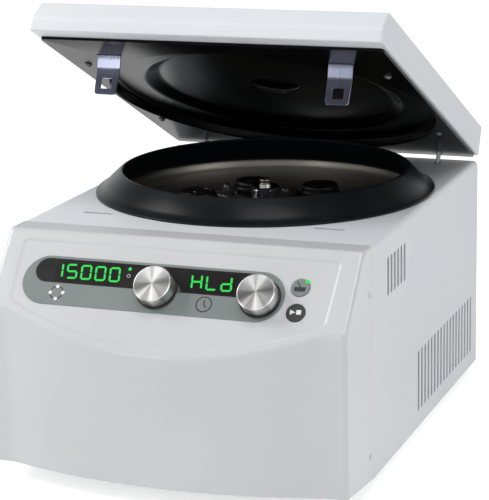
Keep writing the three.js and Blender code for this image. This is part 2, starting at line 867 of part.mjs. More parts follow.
// Lid pieces, in the lid's own axes with the hinge axis as origin
function lidShell() {
  const profile = [
    [lidFront, lidBase], [lidRearOverhang, lidBase], [lidRearOverhang, lidBase + lidThickness],
    [lidFront + lidBevelRun, lidBase + lidThickness], [lidFront, lidBase + lidBand],
  ];
  const outside = alongX(polygon(profile), -halfCase, halfCase);
  const inside = alongX(polygon(inset(profile, sheet)), -innerHalf, innerHalf);
  const mouth = block(
    lidSideFlange - halfCase, halfCase - lidSideFlange,
    lidFront + lidFrontFlange, lidRearOverhang - lidRearFlange, lidBase - overrun, lidBase + sheet + overrun,
  );
  return cutBy(outside, [inside, mouth]);
}

const dishY = bowlY - pivotY;
const linerFoot = lidBase - gap - linerSheet;
const linerTop = lidBase - gap;

function stripSlot(side, grow) {
  return block(
    side * latchX - stripWidth / 2 - grow, side * latchX + stripWidth / 2 + grow,
    lidFront + stripRun - stripLean - gap - grow, lidFront + stripRun + stripSheet + grow,
    linerFoot - overrun, linerTop + overrun,
  );
}

function studPlaces() {
  return [-1, 1].flatMap((side) => [studFrontRun, studRearRun].map((run) => [side * studX, lidFront + run]));
}

function lidLiner() {
  const plate = block(
    -linerHalf, linerHalf, lidFront + linerFrontInset, lidRearOverhang - linerRearInset, linerFoot, linerTop,
  );
  const cutRadius = dishRadius + linerSheet / 2;
  const cut = barZ(cutRadius, linerFoot - overrun, linerTop + overrun, 0, dishY, wideSides);
  const dish = turned([
    [dishRadius, linerFoot], [channelOuterRadius, lidBase + channelRise], [channelInnerRadius, lidBase + channelRise],
    [discRadius, lidBase + discRise], [portRadius, lidBase + discRise],
    [portRadius, lidBase + discRise + linerSheet], [discRadius, lidBase + discRise + linerSheet],
    [channelInnerRadius, lidBase + channelRise + linerSheet],
    [channelOuterRadius + linerSheet, lidBase + channelRise + linerSheet],
    [dishRadius + linerSheet, linerTop], [dishRadius + linerSheet, linerFoot],
  ], 0, dishY, wideSides);
  const armNotches = [-1, 1].map((side) => block(
    side * hingeX - armSlotWidth / 2, side * hingeX + armSlotWidth / 2,
    -armFront - gap * 2, gap * 2 + armDepth - armFront, linerFoot - overrun, linerTop + overrun,
  ));
  const studHoles = studPlaces().map(([x, y]) =>
    barZ(studRadius + gap, linerFoot - overrun, linerTop + overrun, x, y, smallSides));
  return cutBy(plate.subtract(cut).add(dish), [
    stripSlot(-1, gap * 2), stripSlot(1, gap * 2), ...armNotches, ...studHoles,
  ]);
}

function linerScrew([x, y]) {
  return turned([
    [0, linerFoot - gap - studNutHeight], [studNutRadius / 2, linerFoot - gap - studNutHeight],
    [studNutRadius, linerFoot - gap - studNutHeight / 2], [studNutRadius, linerFoot - gap],
    [studRadius, linerFoot - gap], [studRadius, lidCeiling - gap], [0, lidCeiling - gap],
  ], x, y, smallSides);
}

function lidPort() {
  const rim = portRadius - gap;
  const foot = lidBase + discRise;
  const flange = foot + linerSheet + gap;
  return turned([
    [rim - portWall, foot], [rim, foot], [rim, flange], [portFlangeRadius, flange],
    [portFlangeRadius, flange + portWall], [rim, flange + portWall], [rim, lidBase + portTop],
    [0, lidBase + portTop], [0, lidBase + portTop - portWall], [rim - portWall, lidBase + portTop - portWall],
  ], 0, dishY, middleSides);
}

function latchStrip(side) {
  const y = lidFront + stripRun;
  const top = lidCeiling - gap;
  const line = [
    [y - stripLean + stripFoot, top], [y - stripLean, top], [y - stripLean, linerFoot],
    [y, lidBase - stripBend], [y, lidBase - stripLength],
  ];
  const strip = alongX(ribbon(line, stripSheet), -stripWidth / 2, stripWidth / 2);
  const outline = new THREE.Shape();
  outline.moveTo(stripWidth / 2, lidCeiling + overrun);
  outline.lineTo(-stripWidth / 2, lidCeiling + overrun);
  outline.lineTo(-stripWidth / 2, lidBase - stripLength + stripCorner);
  outline.absarc(stripCorner - stripWidth / 2, lidBase - stripLength + stripCorner, stripCorner,
    2 * quarterTurn, 3 * quarterTurn, false);
  outline.absarc(stripWidth / 2 - stripCorner, lidBase - stripLength + stripCorner, stripCorner,
    3 * quarterTurn, 4 * quarterTurn, false);
  const front = alongY(outline, y - stripFoot, y + stripFoot + stripRun);
  const window = block(
    -stripWindowWidth / 2, stripWindowWidth / 2, y - stripFoot, y + stripFoot,
    lidBase - stripWindowFoot, lidBase - stripWindowTop,
  );
  return strip.intersect(front).subtract(window).translate([side * latchX, 0, 0]);
}

function hingeArms() {
  const top = lidCeiling - gap;
  const shape = new THREE.Shape();
  shape.moveTo(-armFront, -armBoss);
  shape.lineTo(0, -armBoss);
  shape.absarc(0, 0, armBoss, -quarterTurn, quarterTurn, false);
  shape.lineTo(armDepth - armFront, armBoss);
  shape.lineTo(armDepth - armFront, top);
  shape.lineTo(-armFront, top);
  return joined([-1, 1].map((side) => {
    const inner = side * hingeX - armSheet / 2;
    const plate = alongX(shape, inner, inner + armSheet);
    const bore = barX(hingePinRadius + gap, inner - overrun, inner + armSheet + overrun, 0, 0, roundSides);
    return plate.subtract(bore);
  }).concat(block(-stiffenerHalf, stiffenerHalf, -stiffenerFront, armDepth - armFront, top - armSheet, top)));
}

// Hinge rail on the rear panel and the rod through it
function hingeRail() {
  const innerX = armSheet / 2 + earGap;
  const outerX = innerX + earSheet;
  const back = rearInside - gap - pivotY;
  const webTop = bracketWeb - bracketFoot;
  const rail = block(-hingeX - outerX, hingeX + outerX, -bracketFront, back, -bracketFoot, webTop);
  const ears = [-1, 1].map((side) => {
    const centre = side * hingeX;
    const outside = block(centre - outerX, centre + outerX, -bracketFront, back, -bracketFoot, pivotDrop - sheet - gap);
    return outside.subtract(block(centre - innerX, centre + innerX, -bracketFront - overrun, back + overrun,
      webTop, pivotDrop));
  });
  const bore = barX(hingePinRadius + gap, -halfCase, halfCase, 0, 0, roundSides);
  return joined([rail, ...ears]).subtract(bore).translate([0, pivotY, pivotZ]);
}

function hingeRod() {
  const reach = hingeX + armSheet / 2 + earGap + earSheet + overrun;
  return barX(hingePinRadius, -reach, reach, pivotY, pivotZ, roundSides);
}

// Chamber bowl and gasket
function bowl() {
  const top = ceiling - gap;
  const outerFloor = bowlFloor - bowlWall;
  const corner = (radius, height, reach) => {
    const points = [];
    for (let i = 0; i <= cornerSteps; i += 1) {
      const angle = (quarterTurn * i) / cornerSteps;
      points.push([radius - reach + reach * Math.cos(angle), height + reach - reach * Math.sin(angle)]);
    }
    return points;
  };
  return turned([
    [bowlFlangeRadius, top], [bowlRadius, top], ...corner(bowlFloorRadius, bowlFloor, bowlCorner),
    [bowlNeckRadius, bowlFloor], [bowlNeckRadius, bowlFloor + bowlNeckHeight],
    [bowlNeckRadius - bowlWall, bowlFloor + bowlNeckHeight], [bowlNeckRadius - bowlWall, outerFloor],
    ...corner(bowlFloorRadius + bowlWall, outerFloor, bowlCorner + bowlWall).reverse(),
    [bowlRadius + bowlWall, top - bowlWall], [bowlFlangeRadius, top - bowlWall],
  ], 0, bowlY, wideSides);
}

function bowlGasket() {
  const foot = caseHeight + gap;
  const top = caseHeight + gasketHeight;
  const skirtRadius = gasketBaseRadius - gasketSkirtRun;
  const skirtTop = foot + gasketSkirtRise;
  return turned([
    [gasketBaseRadius, foot], [gasketBaseRadius, foot + gasketEdge], [skirtRadius, skirtTop],
    [(skirtRadius + gasketLipRadius) / 2 + gasketBow, (skirtTop + top) / 2], [gasketLipRadius, top], [gasketLipRadius - gasketLip, top], [gasketLipRadius - gasketLip, top - gasketLip],
    [bowlRadius - gasketLip / 2, ceiling + gap], [bowlRadius - gasketLip / 2, ceiling],
    [openingRadius - gap * 2, ceiling], [openingRadius - gap * 2, foot],
  ], 0, bowlY, wideSides);
}

// Drive: motor on rubber mounts, shaft and board
function motorMount() {
  const foot = basePlate + gap;
  const top = motorFlangeFoot - gap;
  return turned([[mountInner, foot], [mountOuter, foot], [mountOuter, top], [mountInner, top]], 0, bowlY, middleSides);
}

function motorHousing() {
  const body = turned([
    [0, motorFlangeFoot], [motorFlangeRadius, motorFlangeFoot], [motorFlangeRadius, motorFlangeFoot + motorFlangeSheet],
    [motorRadius, motorFlangeFoot + motorFlangeSheet], [motorRadius, motorTop],
    [motorNeckRadius, motorTop + bowlWall], [motorNeckRadius, motorNeckTop], [0, motorNeckTop],
  ], 0, bowlY, middleSides);
  const bore = barZ(shaftRadius + shaftClearance, shaftFoot - gap, motorNeckTop + overrun, 0, bowlY, middleSides);
  return body.subtract(bore);
}

function driveBoard() {
  const middle = (driveFront + driveBack) / 2;
  const board = block(driveLeft, driveRight, driveFront, driveBack, driveZ, driveZ + boardSheet);
  const margin = driveFootRadius * 2;
  const feet = [driveLeft + margin, driveRight - margin].flatMap((x) => [driveFront + margin, driveBack - margin].map(
    (y) => barZ(driveFootRadius, basePlate + gap, driveZ + boardSheet / 2, x, y, smallSides)));
  const top = driveZ + boardSheet / 2;
  const coil = block(driveLeft + margin, driveLeft + margin + coilWidth, middle - coilDepth / 2,
    middle + coilDepth / 2, top, top + coilHeight);
  const fins = [];
  for (let i = 0; i < sinkFinCount; i += 1) {
    const x = i * sinkPitch;
    fins.push(block(x, x + sinkSheet, middle - coilDepth / 2, middle + coilDepth / 2, top, top + sinkHeight));
  }
  return joined([board, coil, ...feet, ...fins]);
}

// Locks under the latch slots
const lockBoltZ = pivotZ + lidBase - (stripWindowTop + stripWindowFoot) / 2;

function lockFrame() {
  const top = ceiling - gap;
  const reach = latchX + lockHalfWidth;
  const beam = block(-reach, reach, lockFront, lockBeamBack, lockFoot, top);
  const guides = [-1, 1].map((side) =>
    block(side * latchX - lockHalfWidth, side * latchX + lockHalfWidth, lockFront, lockBack, lockFoot, top));
  const drive = block(-lockDriveHalf, lockDriveHalf, lockFront, lockBeamBack, lockDriveFoot, lockFoot + overrun);
  return cutBy(joined([beam, ...guides, drive]), lockSlideBlocks(gap, lockTravel + gap, lockBack + overrun));
}

// Bar across the front with a bolt at each end, grown by a clearance to make its guide
function lockSlideBlocks(grow, travel, tip) {
  const low = lockBoltZ - lockBoltHeight / 2 - grow;
  const high = lockBoltZ + lockBoltHeight / 2 + grow;
  const reach = latchX + lockBoltWidth / 2 + grow;
  const bar = block(-reach, reach, lockBarFront - grow, lockBarBack + travel, low, high);
  const bolts = [-1, 1].map((side) => block(
    side * latchX - lockBoltWidth / 2 - grow, side * latchX + lockBoltWidth / 2 + grow,
    lockBarFront - grow, tip, low, high,
  ));
  return [bar, ...bolts];
}

function lockSlide() {
  return joined(lockSlideBlocks(0, 0, lockBack + lockBoltTip));
}

// Rear panel fittings
function powerInlet() {
  const body = block(
    inletX - inletWidth / 2, inletX + inletWidth / 2, caseDepth - inletDepth, caseDepth + gap + inletFlangeSheet,
    inletZ - inletHeight / 2, inletZ + inletHeight / 2,
  );
  const flange = block(
    inletX - inletFlangeX, inletX + inletFlangeX, caseDepth + gap, caseDepth + gap + inletFlangeSheet,
    inletZ - inletFlangeZ, inletZ + inletFlangeZ,
  );
  const mouth = caseDepth + gap + inletFlangeSheet;
  const socket = block(
    inletX - socketWidth / 2, inletX + socketWidth / 2, mouth - socketDepth, mouth + overrun,
    inletZ - socketHeight / 2, inletZ + socketHeight / 2,
  );
  const blades = [-1, 0, 1].map((step) => block(
    inletX + step * bladePitch - bladeSheet / 2, inletX + step * bladePitch + bladeSheet / 2,
    mouth - socketDepth - gap, mouth - socketDepth + bladeLength, inletZ - bladeWidth / 2, inletZ + bladeWidth / 2,
  ));
  return joined([body.add(flange).subtract(socket), ...blades]);
}

function switchFrame() {
  const face = caseDepth + gap + switchFlangeSheet;
  const body = block(
    switchX - switchWidth / 2, switchX + switchWidth / 2, caseDepth - switchDepth, face,
    inletZ - switchTall / 2, inletZ + switchTall / 2,
  );
  const flange = block(
    switchX - switchFlangeX, switchX + switchFlangeX, caseDepth + gap, face,
    inletZ - switchFlangeZ, inletZ + switchFlangeZ,
  );
  const well = block(
    switchX - rockerWidth / 2 - gap, switchX + rockerWidth / 2 + gap, face - rockerDepth * 2, face + overrun,
    inletZ - rockerTall / 2 - gap * 3, inletZ + rockerTall / 2 + gap * 3,
  );
  return body.add(flange).subtract(well);
}

const rockerPivotY = caseDepth + gap + switchFlangeSheet - rockerDepth;

function rocker() {
  const half = rockerTall / 2;
  const outline = [
    [-rockerDepth / 2, -half / 2], [0, -half], [rockerDepth, -half], [rockerDepth / 2, 0],
    [rockerDepth, half], [0, half], [-rockerDepth / 2, half / 2],
  ];
  return alongX(polygon(outline), -rockerWidth / 2, rockerWidth / 2);
}

// Rotor
function motorShaft() {
  const outside = barZ(shaftRadius, shaftFoot, headTop - gap, 0, bowlY, middleSides);
  const bore = barZ(screwStemRadius + gap, screwStemFoot - gap, headTop + overrun, 0, bowlY, middleSides);
  return outside.subtract(bore);
}

const placeAngle = (index) => (index * 4 * quarterTurn) / placeCount;

// Turns and moves a body made at the +X place to its own place on the rotor
function atPlace(body, angle) {
  return body.rotate([0, 0, angle / degree]).translate([0, bowlY, 0]);
}

function rotorHead() {
  const hub = barZ(headHubRadius, headFoot, headTop, 0, 0, middleSides);
  const armBody = block(0, armReach, -armHalfWidth, armHalfWidth, trunnionZ - armHalfHeight, armTop);
  const boltBody = turned([
    [0, armTop - overrun], [rotorBoltRadius, armTop - overrun], [rotorBoltRadius, (armTop + rotorBoltTop) / 2],
    [rotorBoltRadius / 2, rotorBoltTop], [0, rotorBoltTop],
  ], rotorBoltCircle, 0, smallSides);
  const arm = armBody.add(boltBody);
  const pins = [-1, 1].map((side) => {
    const ends = [side * trunnionInner, side * trunnionOuter];
    return barY(trunnionRadius, Math.min(...ends), Math.max(...ends), bucketCircle, trunnionZ, smallSides);
  });
  const bodies = [hub];
  for (let i = 0; i < placeCount; i += 1) {
    bodies.push(arm.rotate([0, 0, placeAngle(i + 1 / 2) / degree]));
    pins.forEach((pin) => bodies.push(pin.rotate([0, 0, placeAngle(i) / degree])));
  }
  const bore = barZ(shaftRadius + gap, headFoot - overrun, headTop + overrun, 0, 0, middleSides);
  return joined(bodies).subtract(bore).translate([0, bowlY, 0]);
}

function rotorCollar() {
  const outside = barZ(collarRadius, headTop + gap, collarTop, 0, bowlY, middleSides);
  return outside.subtract(barZ(screwStemRadius + gap, headTop, collarTop + overrun, 0, bowlY, middleSides));
}

function rotorScrew() {
  const head = collarTop + gap;
  return turned([
    [0, screwStemFoot], [screwStemRadius, screwStemFoot], [screwStemRadius, head], [screwRadius, head],
    [screwRadius, screwTop - capChamfer / 2], [screwRadius - capChamfer / 2, screwTop], [0, screwTop],
  ], 0, bowlY, smallSides);
}

function bucket(index) {
  const body = turned([
    [0, bucketToe], [bucketToeRadius, bucketToe], [bucketRadius, bucketCollarFoot - overrun],
    [bucketCollarRadius, bucketCollarFoot], [bucketCollarRadius, bucketCollarTop - gap],
    [bucketRadius, bucketCollarTop - gap], [bucketRadius, bucketRim], [bucketBore, bucketRim],
    [bucketBore, bucketFloor], [0, bucketFloor],
  ], bucketCircle, 0, roundSides);
  const hole = (side) => {
    const ends = [side * (trunnionInner - gap), side * (bucketCollarRadius + overrun)];
    const [near, far] = [Math.min(...ends), Math.max(...ends)];
    const half = trunnionRadius + gap;
    return barY(half, near, far, bucketCircle, trunnionZ, smallSides).add(
      block(bucketCircle - half, bucketCircle + half, near, far, bucketCollarFoot - overrun * 2, trunnionZ));
  };
  return atPlace(cutBy(body, [hole(-1), hole(1)]), placeAngle(index));
}

function bucketCap(index) {
  const bore = bucketRadius + gap;
  const body = turned([
    [bore, bucketCollarTop], [capRadius - capChamfer / 2, bucketCollarTop], [capRadius, bucketCollarTop + capChamfer],
    [capRadius, capTop - capChamfer], [capRadius - capChamfer, capTop], [0, capTop],
    [0, bucketRim + gap], [bore, bucketRim + gap],
  ], bucketCircle, 0, roundSides);
  return atPlace(body, placeAngle(index));
}

// The whole instrument, built in bench axes and then centred over its footprint
const instrument = new THREE.Group();
const [footFrontLeft, footFrontRight, footRearLeft, footRearRight] = footPlaces();
instrument.add(
  piece('base_plate', basePlateBody(), zincSteel),
  piece('foot_front_left', rubberFoot(footFrontLeft), blackRubber),
  piece('foot_front_right', rubberFoot(footFrontRight), blackRubber),
  piece('foot_rear_left', rubberFoot(footRearLeft), blackRubber),
  piece('foot_rear_right', rubberFoot(footRearRight), blackRubber),
  piece('case_cover', caseCover(), whiteLacquer),
  piece('rear_panel', rearPanel(), whiteLacquer),
  piece('front_plate', frontPlate(), zincSteel),
  piece('front_fascia', frontFascia(), greyMoulding),
  piece('fascia_screw_left_low', fasciaScrew(-1, fasciaScrewLow), brightSteel),
  piece('fascia_screw_left_high', fasciaScrew(-1, fasciaScrewHigh), brightSteel),
  piece('fascia_screw_right_low', fasciaScrew(1, fasciaScrewLow), brightSteel),
  piece('fascia_screw_right_high', fasciaScrew(1, fasciaScrewHigh), brightSteel),
  piece('hinge_rail', hingeRail(), zincSteel),
  piece('hinge_rod', hingeRod(), brightSteel),
  piece('bowl', bowl(), brightSteel),
  piece('bowl_gasket', bowlGasket(), blackRubber),
  piece('motor_mount', motorMount(), blackRubber),
  piece('motor_housing', motorHousing(), castAluminium),
  piece('motor_shaft', motorShaft(), brightSteel),
  piece('drive_board', driveBoard(), circuitGreen),
  piece('lock_frame', lockFrame(), blackPlastic),
  piece('lock_slide', lockSlide(), brightSteel),
  piece('power_inlet', powerInlet(), blackPlastic),
  piece('switch_frame', switchFrame(), blackPlastic),
  piece('rotor_head', rotorHead(), castAluminium),
  piece('rotor_collar', rotorCollar(), brightSteel),
  piece('rotor_screw', rotorScrew(), brightSteel),
);
for (let i = 0; i < placeCount; i += 1) {
  instrument.add(piece(`bucket_${i + 1}`, bucket(i), blackPlastic));
  instrument.add(piece(`bucket_cap_${i + 1}`, bucketCap(i), blackPlastic));
}

// Rocker of the mains switch, tilted to its off side
const rockerGroup = new THREE.Group();
rockerGroup.position.set(switchX, rockerPivotY, inletZ);
rockerGroup.rotation.x = rockerTilt;
rockerGroup.add(piece('power_switch', rocker(), blackPlastic));
instrument.add(rockerGroup);

// Control field on the leaning face
const controls = new THREE.Group();
controls.position.set(0, -fasciaLedge, caseHeight);
controls.rotation.x = quarterTurn - panelLean;
controls.add(
  piece('label_bar', labelBar(), greyLabel),
  piece('display_window', displayWindow(), darkWindow),
  piece('control_board', controlBoard(), circuitGreen),
  piece('speed_knob', knobBody(speedKnobX), blackPlastic),
  piece('time_knob', knobBody(timeKnobX), blackPlastic),
  piece('speed_knob_cap', knobCap(speedKnobX), turnedAluminium),
  piece('time_knob_cap', knobCap(timeKnobX), turnedAluminium),
  piece('lid_button', pushButton(buttonPlaces.lid), greyLabel),
  piece('start_button', pushButton(buttonPlaces.start), darkWindow),
);
instrument.add(controls);

// Lid, raised to its stop
const lid = new THREE.Group();
lid.position.set(0, pivotY, pivotZ);
lid.rotation.x = -lidOpenAngle;
lid.add(
  piece('lid_shell', lidShell(), whiteLacquer),
  piece('lid_liner', lidLiner(), blackPlastic),
  piece('lid_port', lidPort(), blackPlastic),
  piece('latch_strip_left', latchStrip(-1), brightSteel),
  piece('latch_strip_right', latchStrip(1), brightSteel),
  piece('hinge_arms', hingeArms(), brightSteel),
);
const [screwFrontLeft, screwRearLeft, screwFrontRight, screwRearRight] = studPlaces();
lid.add(
  piece('liner_screw_front_left', linerScrew(screwFrontLeft), brightSteel),
  piece('liner_screw_rear_left', linerScrew(screwRearLeft), brightSteel),
  piece('liner_screw_front_right', linerScrew(screwFrontRight), brightSteel),
  piece('liner_screw_rear_right', linerScrew(screwRearRight), brightSteel),
);
instrument.add(lid);

// Centre of the footprint: the bowed front against the raised lid's rear top edge
const lidRear = pivotY + lidRearOverhang * Math.cos(lidOpenAngle) + (lidBase + lidThickness) * Math.sin(lidOpenAngle);
instrument.position.set(0, (fasciaReach - lidRear) / 2, footHeight);

const cytocentrifuge = new THREE.Group();
cytocentrifuge.add(instrument);

export default cytocentrifuge;
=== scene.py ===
"""Looks of a bench cytocentrifuge: white case, grey bowed front, raised lid, spin chamber and rotor.

Pieces are modelled in millimetres in the instrument's own axes, and brought to metres as they are placed.
"""
import math

import bmesh
import bpy
from mathutils import Matrix, Vector


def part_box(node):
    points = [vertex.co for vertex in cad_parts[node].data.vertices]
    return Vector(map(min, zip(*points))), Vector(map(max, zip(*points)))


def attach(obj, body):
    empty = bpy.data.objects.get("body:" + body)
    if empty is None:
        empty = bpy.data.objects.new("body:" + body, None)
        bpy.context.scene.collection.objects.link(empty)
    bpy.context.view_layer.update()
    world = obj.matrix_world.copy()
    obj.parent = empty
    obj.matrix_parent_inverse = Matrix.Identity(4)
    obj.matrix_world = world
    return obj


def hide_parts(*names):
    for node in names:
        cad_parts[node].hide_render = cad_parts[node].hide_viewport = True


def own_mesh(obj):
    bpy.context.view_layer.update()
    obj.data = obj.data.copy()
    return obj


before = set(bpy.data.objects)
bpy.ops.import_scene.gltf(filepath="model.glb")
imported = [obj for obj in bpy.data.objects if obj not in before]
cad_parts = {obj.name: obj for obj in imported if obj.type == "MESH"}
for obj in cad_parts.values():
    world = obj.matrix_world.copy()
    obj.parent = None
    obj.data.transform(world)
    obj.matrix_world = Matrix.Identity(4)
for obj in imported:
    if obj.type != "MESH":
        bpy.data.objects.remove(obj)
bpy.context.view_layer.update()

TURN = 2 * math.pi

# Sizes that several pieces share, in millimetres and degrees
HALF_CASE = 165
CASE_DEPTH = 361
CASE_TOP = 210
SHEET = 1.5
BEND = 5
SEAM = 0.4
MOUTH_RADIUS = 149
WIDE_SIDES = 144
LATCH_SLOT_Y = 46.4
ARM_SLOT_Y = 345.75
FRONT_DEPTH = 75.5
FRONT_BOW = 22.5
FRONT_HALF_BOW = 146
LEAN_Y = -24
LEAN = 49
FIELD_FLOOR = -1.0
INK_DEPTH = 0.06
HINGE_Y = 354
HINGE_Z = 199.6
LID_OPEN = 26
LID_FOOT = 18.4
LID_TOP = 49.4
ROOF_Z = 47.6
LINER_Z = 15.6
DISH_RADIUS = 159.8
TONGUE_Y = -307.6
STRIP_HALF = 11.3
CHAMBER_Y = 187
DISH_Y = CHAMBER_Y - HINGE_Y
GASKET_FOOT = 210.3
ARM_X = 127
LATCH_X = 111
STUD_X = 145.5
STUD_Y = {"front": -279.1, "rear": -90.1}
KNOB_X = {"speed": -10.6, "time": 83.5}
KNOB_S = 50
BUTTONS = {"lid": (116.2, 36.7), "start": (117, 60)}
PLACES = 6
PLACE_TURN = 360 / PLACES
BUCKET_RADIUS = 70
TRUNNION_Z = 188
FIXING_RADIUS = 59
FOOT_X = 119
FOOT_Y = {"front": 34, "rear": 321}
FRONT_SCREW_Y = -9
FRONT_SCREW_Z = {"low": 23.4, "high": 169}
SIDES = {"left": -1, "right": 1}

# Axes: the bench's start at the lower front edge of the steel case, the lid's at its hinge, and the panel's
# at the upper edge of the leaning face
case_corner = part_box("case_cover")[0]
BENCH = Matrix.Translation((0, case_corner.y, case_corner.z)) @ Matrix.Scale(0.001, 4)
LID = BENCH @ Matrix.Translation((0, HINGE_Y, HINGE_Z)) @ Matrix.Rotation(math.radians(-LID_OPEN), 4, "X")
PANEL = BENCH @ Matrix.Translation((0, LEAN_Y, CASE_TOP)) @ Matrix.Rotation(math.radians(LEAN), 4, "X")
SLOPE_NORMAL = Vector((0, -math.cos(math.radians(90 - LEAN)), math.sin(math.radians(90 - LEAN))))
SLOPE_POINT = Vector((0, LEAN_Y, CASE_TOP))


# Materials

def linear(hex_colour):
    """A colour written as sRGB hex, in the shader's linear values."""
    parts = [int(hex_colour[i:i + 2], 16) / 255 for i in (1, 3, 5)]
    return [p / 12.92 if p <= 0.04045 else ((p + 0.055) / 1.055) ** 2.4 for p in parts] + [1.0]


def add(tree, kind, links=None, values=None, **settings):
    """One node with its settings, socket values and links."""
    node = tree.nodes.new(kind)
    for name, value in settings.items():
        setattr(node, name, value)
    for name, value in (values or {}).items():
        node.inputs[name].default_value = value
    for name, source in (links or {}).items():
        tree.links.new(source, node.inputs[name])
    return node


def finish(name, colour, roughness, metallic=0.0, **sockets):
    """A surface with its plain values, ready for its pattern."""
    made = bpy.data.materials.new(name)
    made.use_nodes = True
    tree = made.node_tree
    shader = tree.nodes["Principled BSDF"]
    values = {"Base Color": linear(colour), "Roughness": roughness, "Metallic": metallic}
    values.update(sockets)
    for socket, value in values.items():
        shader.inputs[socket].default_value = value
    where = add(tree, "ShaderNodeTexCoord").outputs["Object"]
    return made, tree, shader, where


def tint(tree, shader, factor, low, high, limits=(0.3, 0.7)):
    """Lets a pattern carry the base colour from one tone to another."""
    ramp = add(tree, "ShaderNodeValToRGB", {"Fac": factor})
    ramp.color_ramp.elements[0].position, ramp.color_ramp.elements[1].position = limits
    ramp.color_ramp.elements[0].color = linear(low)
    ramp.color_ramp.elements[1].color = linear(high)
    tree.links.new(ramp.outputs["Color"], shader.inputs["Base Color"])


def relief(tree, shader, height, millimetres, strength=1.0):
    """Lets a pattern raise the surface by a real height."""
    bump = add(tree, "ShaderNodeBump", {"Height": height},
               {"Distance": millimetres * 0.001, "Strength": strength})
    tree.links.new(bump.outputs["Normal"], shader.inputs["Normal"])


def gloss(tree, shader, factor, low, high):
    """Lets a pattern carry the roughness between two values."""
    spread = add(tree, "ShaderNodeMapRange", {"Value": factor}, {"To Min": low, "To Max": high})
    tree.links.new(spread.outputs["Result"], shader.inputs["Roughness"])


# Powder coated steel: a satin white with a cool cast and the faint orange peel of baked powder, 1.5 mm apart
powder_coat, tree, shader, where = finish("white_powder_coat", "#dfe4e8", 0.42, **{"IOR": 1.5})
clouds = add(tree, "ShaderNodeTexNoise", {"Vector": where}, {"Scale": 9.0, "Detail": 2.0}).outputs["Fac"]
peel = add(tree, "ShaderNodeTexNoise", {"Vector": where}, {"Scale": 650.0, "Detail": 1.0}).outputs["Fac"]
tint(tree, shader, clouds, "#dce1e6", "#e2e6e9")
gloss(tree, shader, peel, 0.36, 0.5)
relief(tree, shader, peel, 0.02, 0.35)

# Moulded ABS: light cool grey, half glossy, with a fine spark-eroded grain about 0.8 mm apart
moulded_abs, tree, shader, where = finish("moulded_abs", "#d2d3d6", 0.2, **{"IOR": 1.5})
grain = add(tree, "ShaderNodeTexNoise", {"Vector": where}, {"Scale": 1200.0, "Detail": 2.0}).outputs["Fac"]
clouds = add(tree, "ShaderNodeTexNoise", {"Vector": where}, {"Scale": 7.0, "Detail": 1.0}).outputs["Fac"]
tint(tree, shader, clouds, "#d0d1d4", "#d5d6d8")
gloss(tree, shader, grain, 0.17, 0.24)
relief(tree, shader, grain, 0.008, 0.15)

# The same moulding on its upper ledge: finer grained and rougher, in a darker grey that is painted shade
ledge_abs_painted_shade, tree, shader, where = finish("moulded_abs_painted_ledge_shade", "#c3c4c8", 0.42, **{"IOR": 1.5})
grain = add(tree, "ShaderNodeTexNoise", {"Vector": where}, {"Scale": 1600.0, "Detail": 2.0}).outputs["Fac"]
clouds = add(tree, "ShaderNodeTexNoise", {"Vector": where}, {"Scale": 7.0, "Detail": 1.0}).outputs["Fac"]
tint(tree, shader, clouds, "#c1c2c6", "#c6c7cb")
gloss(tree, shader, grain, 0.4, 0.5)
relief(tree, shader, grain, 0.01, 0.3)

# Polyester front foil: grey-green print under a matt film with a very fine tooth
printed_foil, tree, shader, where = finish("printed_foil", "#7d8684", 0.5, **{"IOR": 1.5})
tooth = add(tree, "ShaderNodeTexNoise", {"Vector": where}, {"Scale": 1500.0, "Detail": 1.0}).outputs["Fac"]
clouds = add(tree, "ShaderNodeTexNoise", {"Vector": where}, {"Scale": 20.0, "Detail": 2.0}).outputs["Fac"]
tint(tree, shader, clouds, "#7b8482", "#818a88")
gloss(tree, shader, tooth, 0.44, 0.56)
relief(tree, shader, tooth, 0.01, 0.2)


def acrylic(name, colour, low, high):
    """Tinted acrylic: smooth and near black, with a slight haze under a surface that stays glossy."""
    made, tree, shader, where = finish(name, colour, 0.16, **{"IOR": 1.49})
    haze = add(tree, "ShaderNodeTexNoise", {"Vector": where}, {"Scale": 60.0, "Detail": 3.0}).outputs["Fac"]
    tint(tree, shader, haze, low, high)
    gloss(tree, shader, haze, 0.12, 0.2)
    return made


def ink(name, colour, low, high):
    """Screen printed ink: slightly uneven in tone, and a few hundredths of a millimetre proud."""
    made, tree, shader, where = finish(name, colour, 0.5)
    speck = add(tree, "ShaderNodeTexNoise", {"Vector": where}, {"Scale": 900.0, "Detail": 1.0}).outputs["Fac"]
    tint(tree, shader, speck, low, high)
    relief(tree, shader, speck, 0.01, 0.2)
    return made


# Cast acrylic sheet: the window's pane, and the darker field behind lit digits
tinted_acrylic = acrylic("tinted_acrylic", "#2a292a", "#282728", "#2e2d2e")
display_acrylic = acrylic("display_acrylic", "#262224", "#242023", "#2a2628")

# Screen printed inks: off-white and charcoal
pale_ink = ink("pale_ink", "#f0f1f1", "#e9eaea", "#f6f6f6")
dark_ink = ink("dark_ink", "#2b2d2e", "#282a2b", "#303233")

# Lit green segments: an even green whose tone wanders slightly between two greens from place to place
lit_segment, tree, shader, where = finish("lit_segment", "#0c5a22", 0.4, **{"Emission Strength": 1.0})
glow = add(tree, "ShaderNodeTexNoise", {"Vector": where}, {"Scale": 400.0, "Detail": 1.0}).outputs["Fac"]
ramp = add(tree, "ShaderNodeValToRGB", {"Fac": glow})
ramp.color_ramp.elements[0].color = linear("#08c83c")
ramp.color_ramp.elements[1].color = linear("#12e64c")
tree.links.new(ramp.outputs["Color"], shader.inputs["Emission Color"])

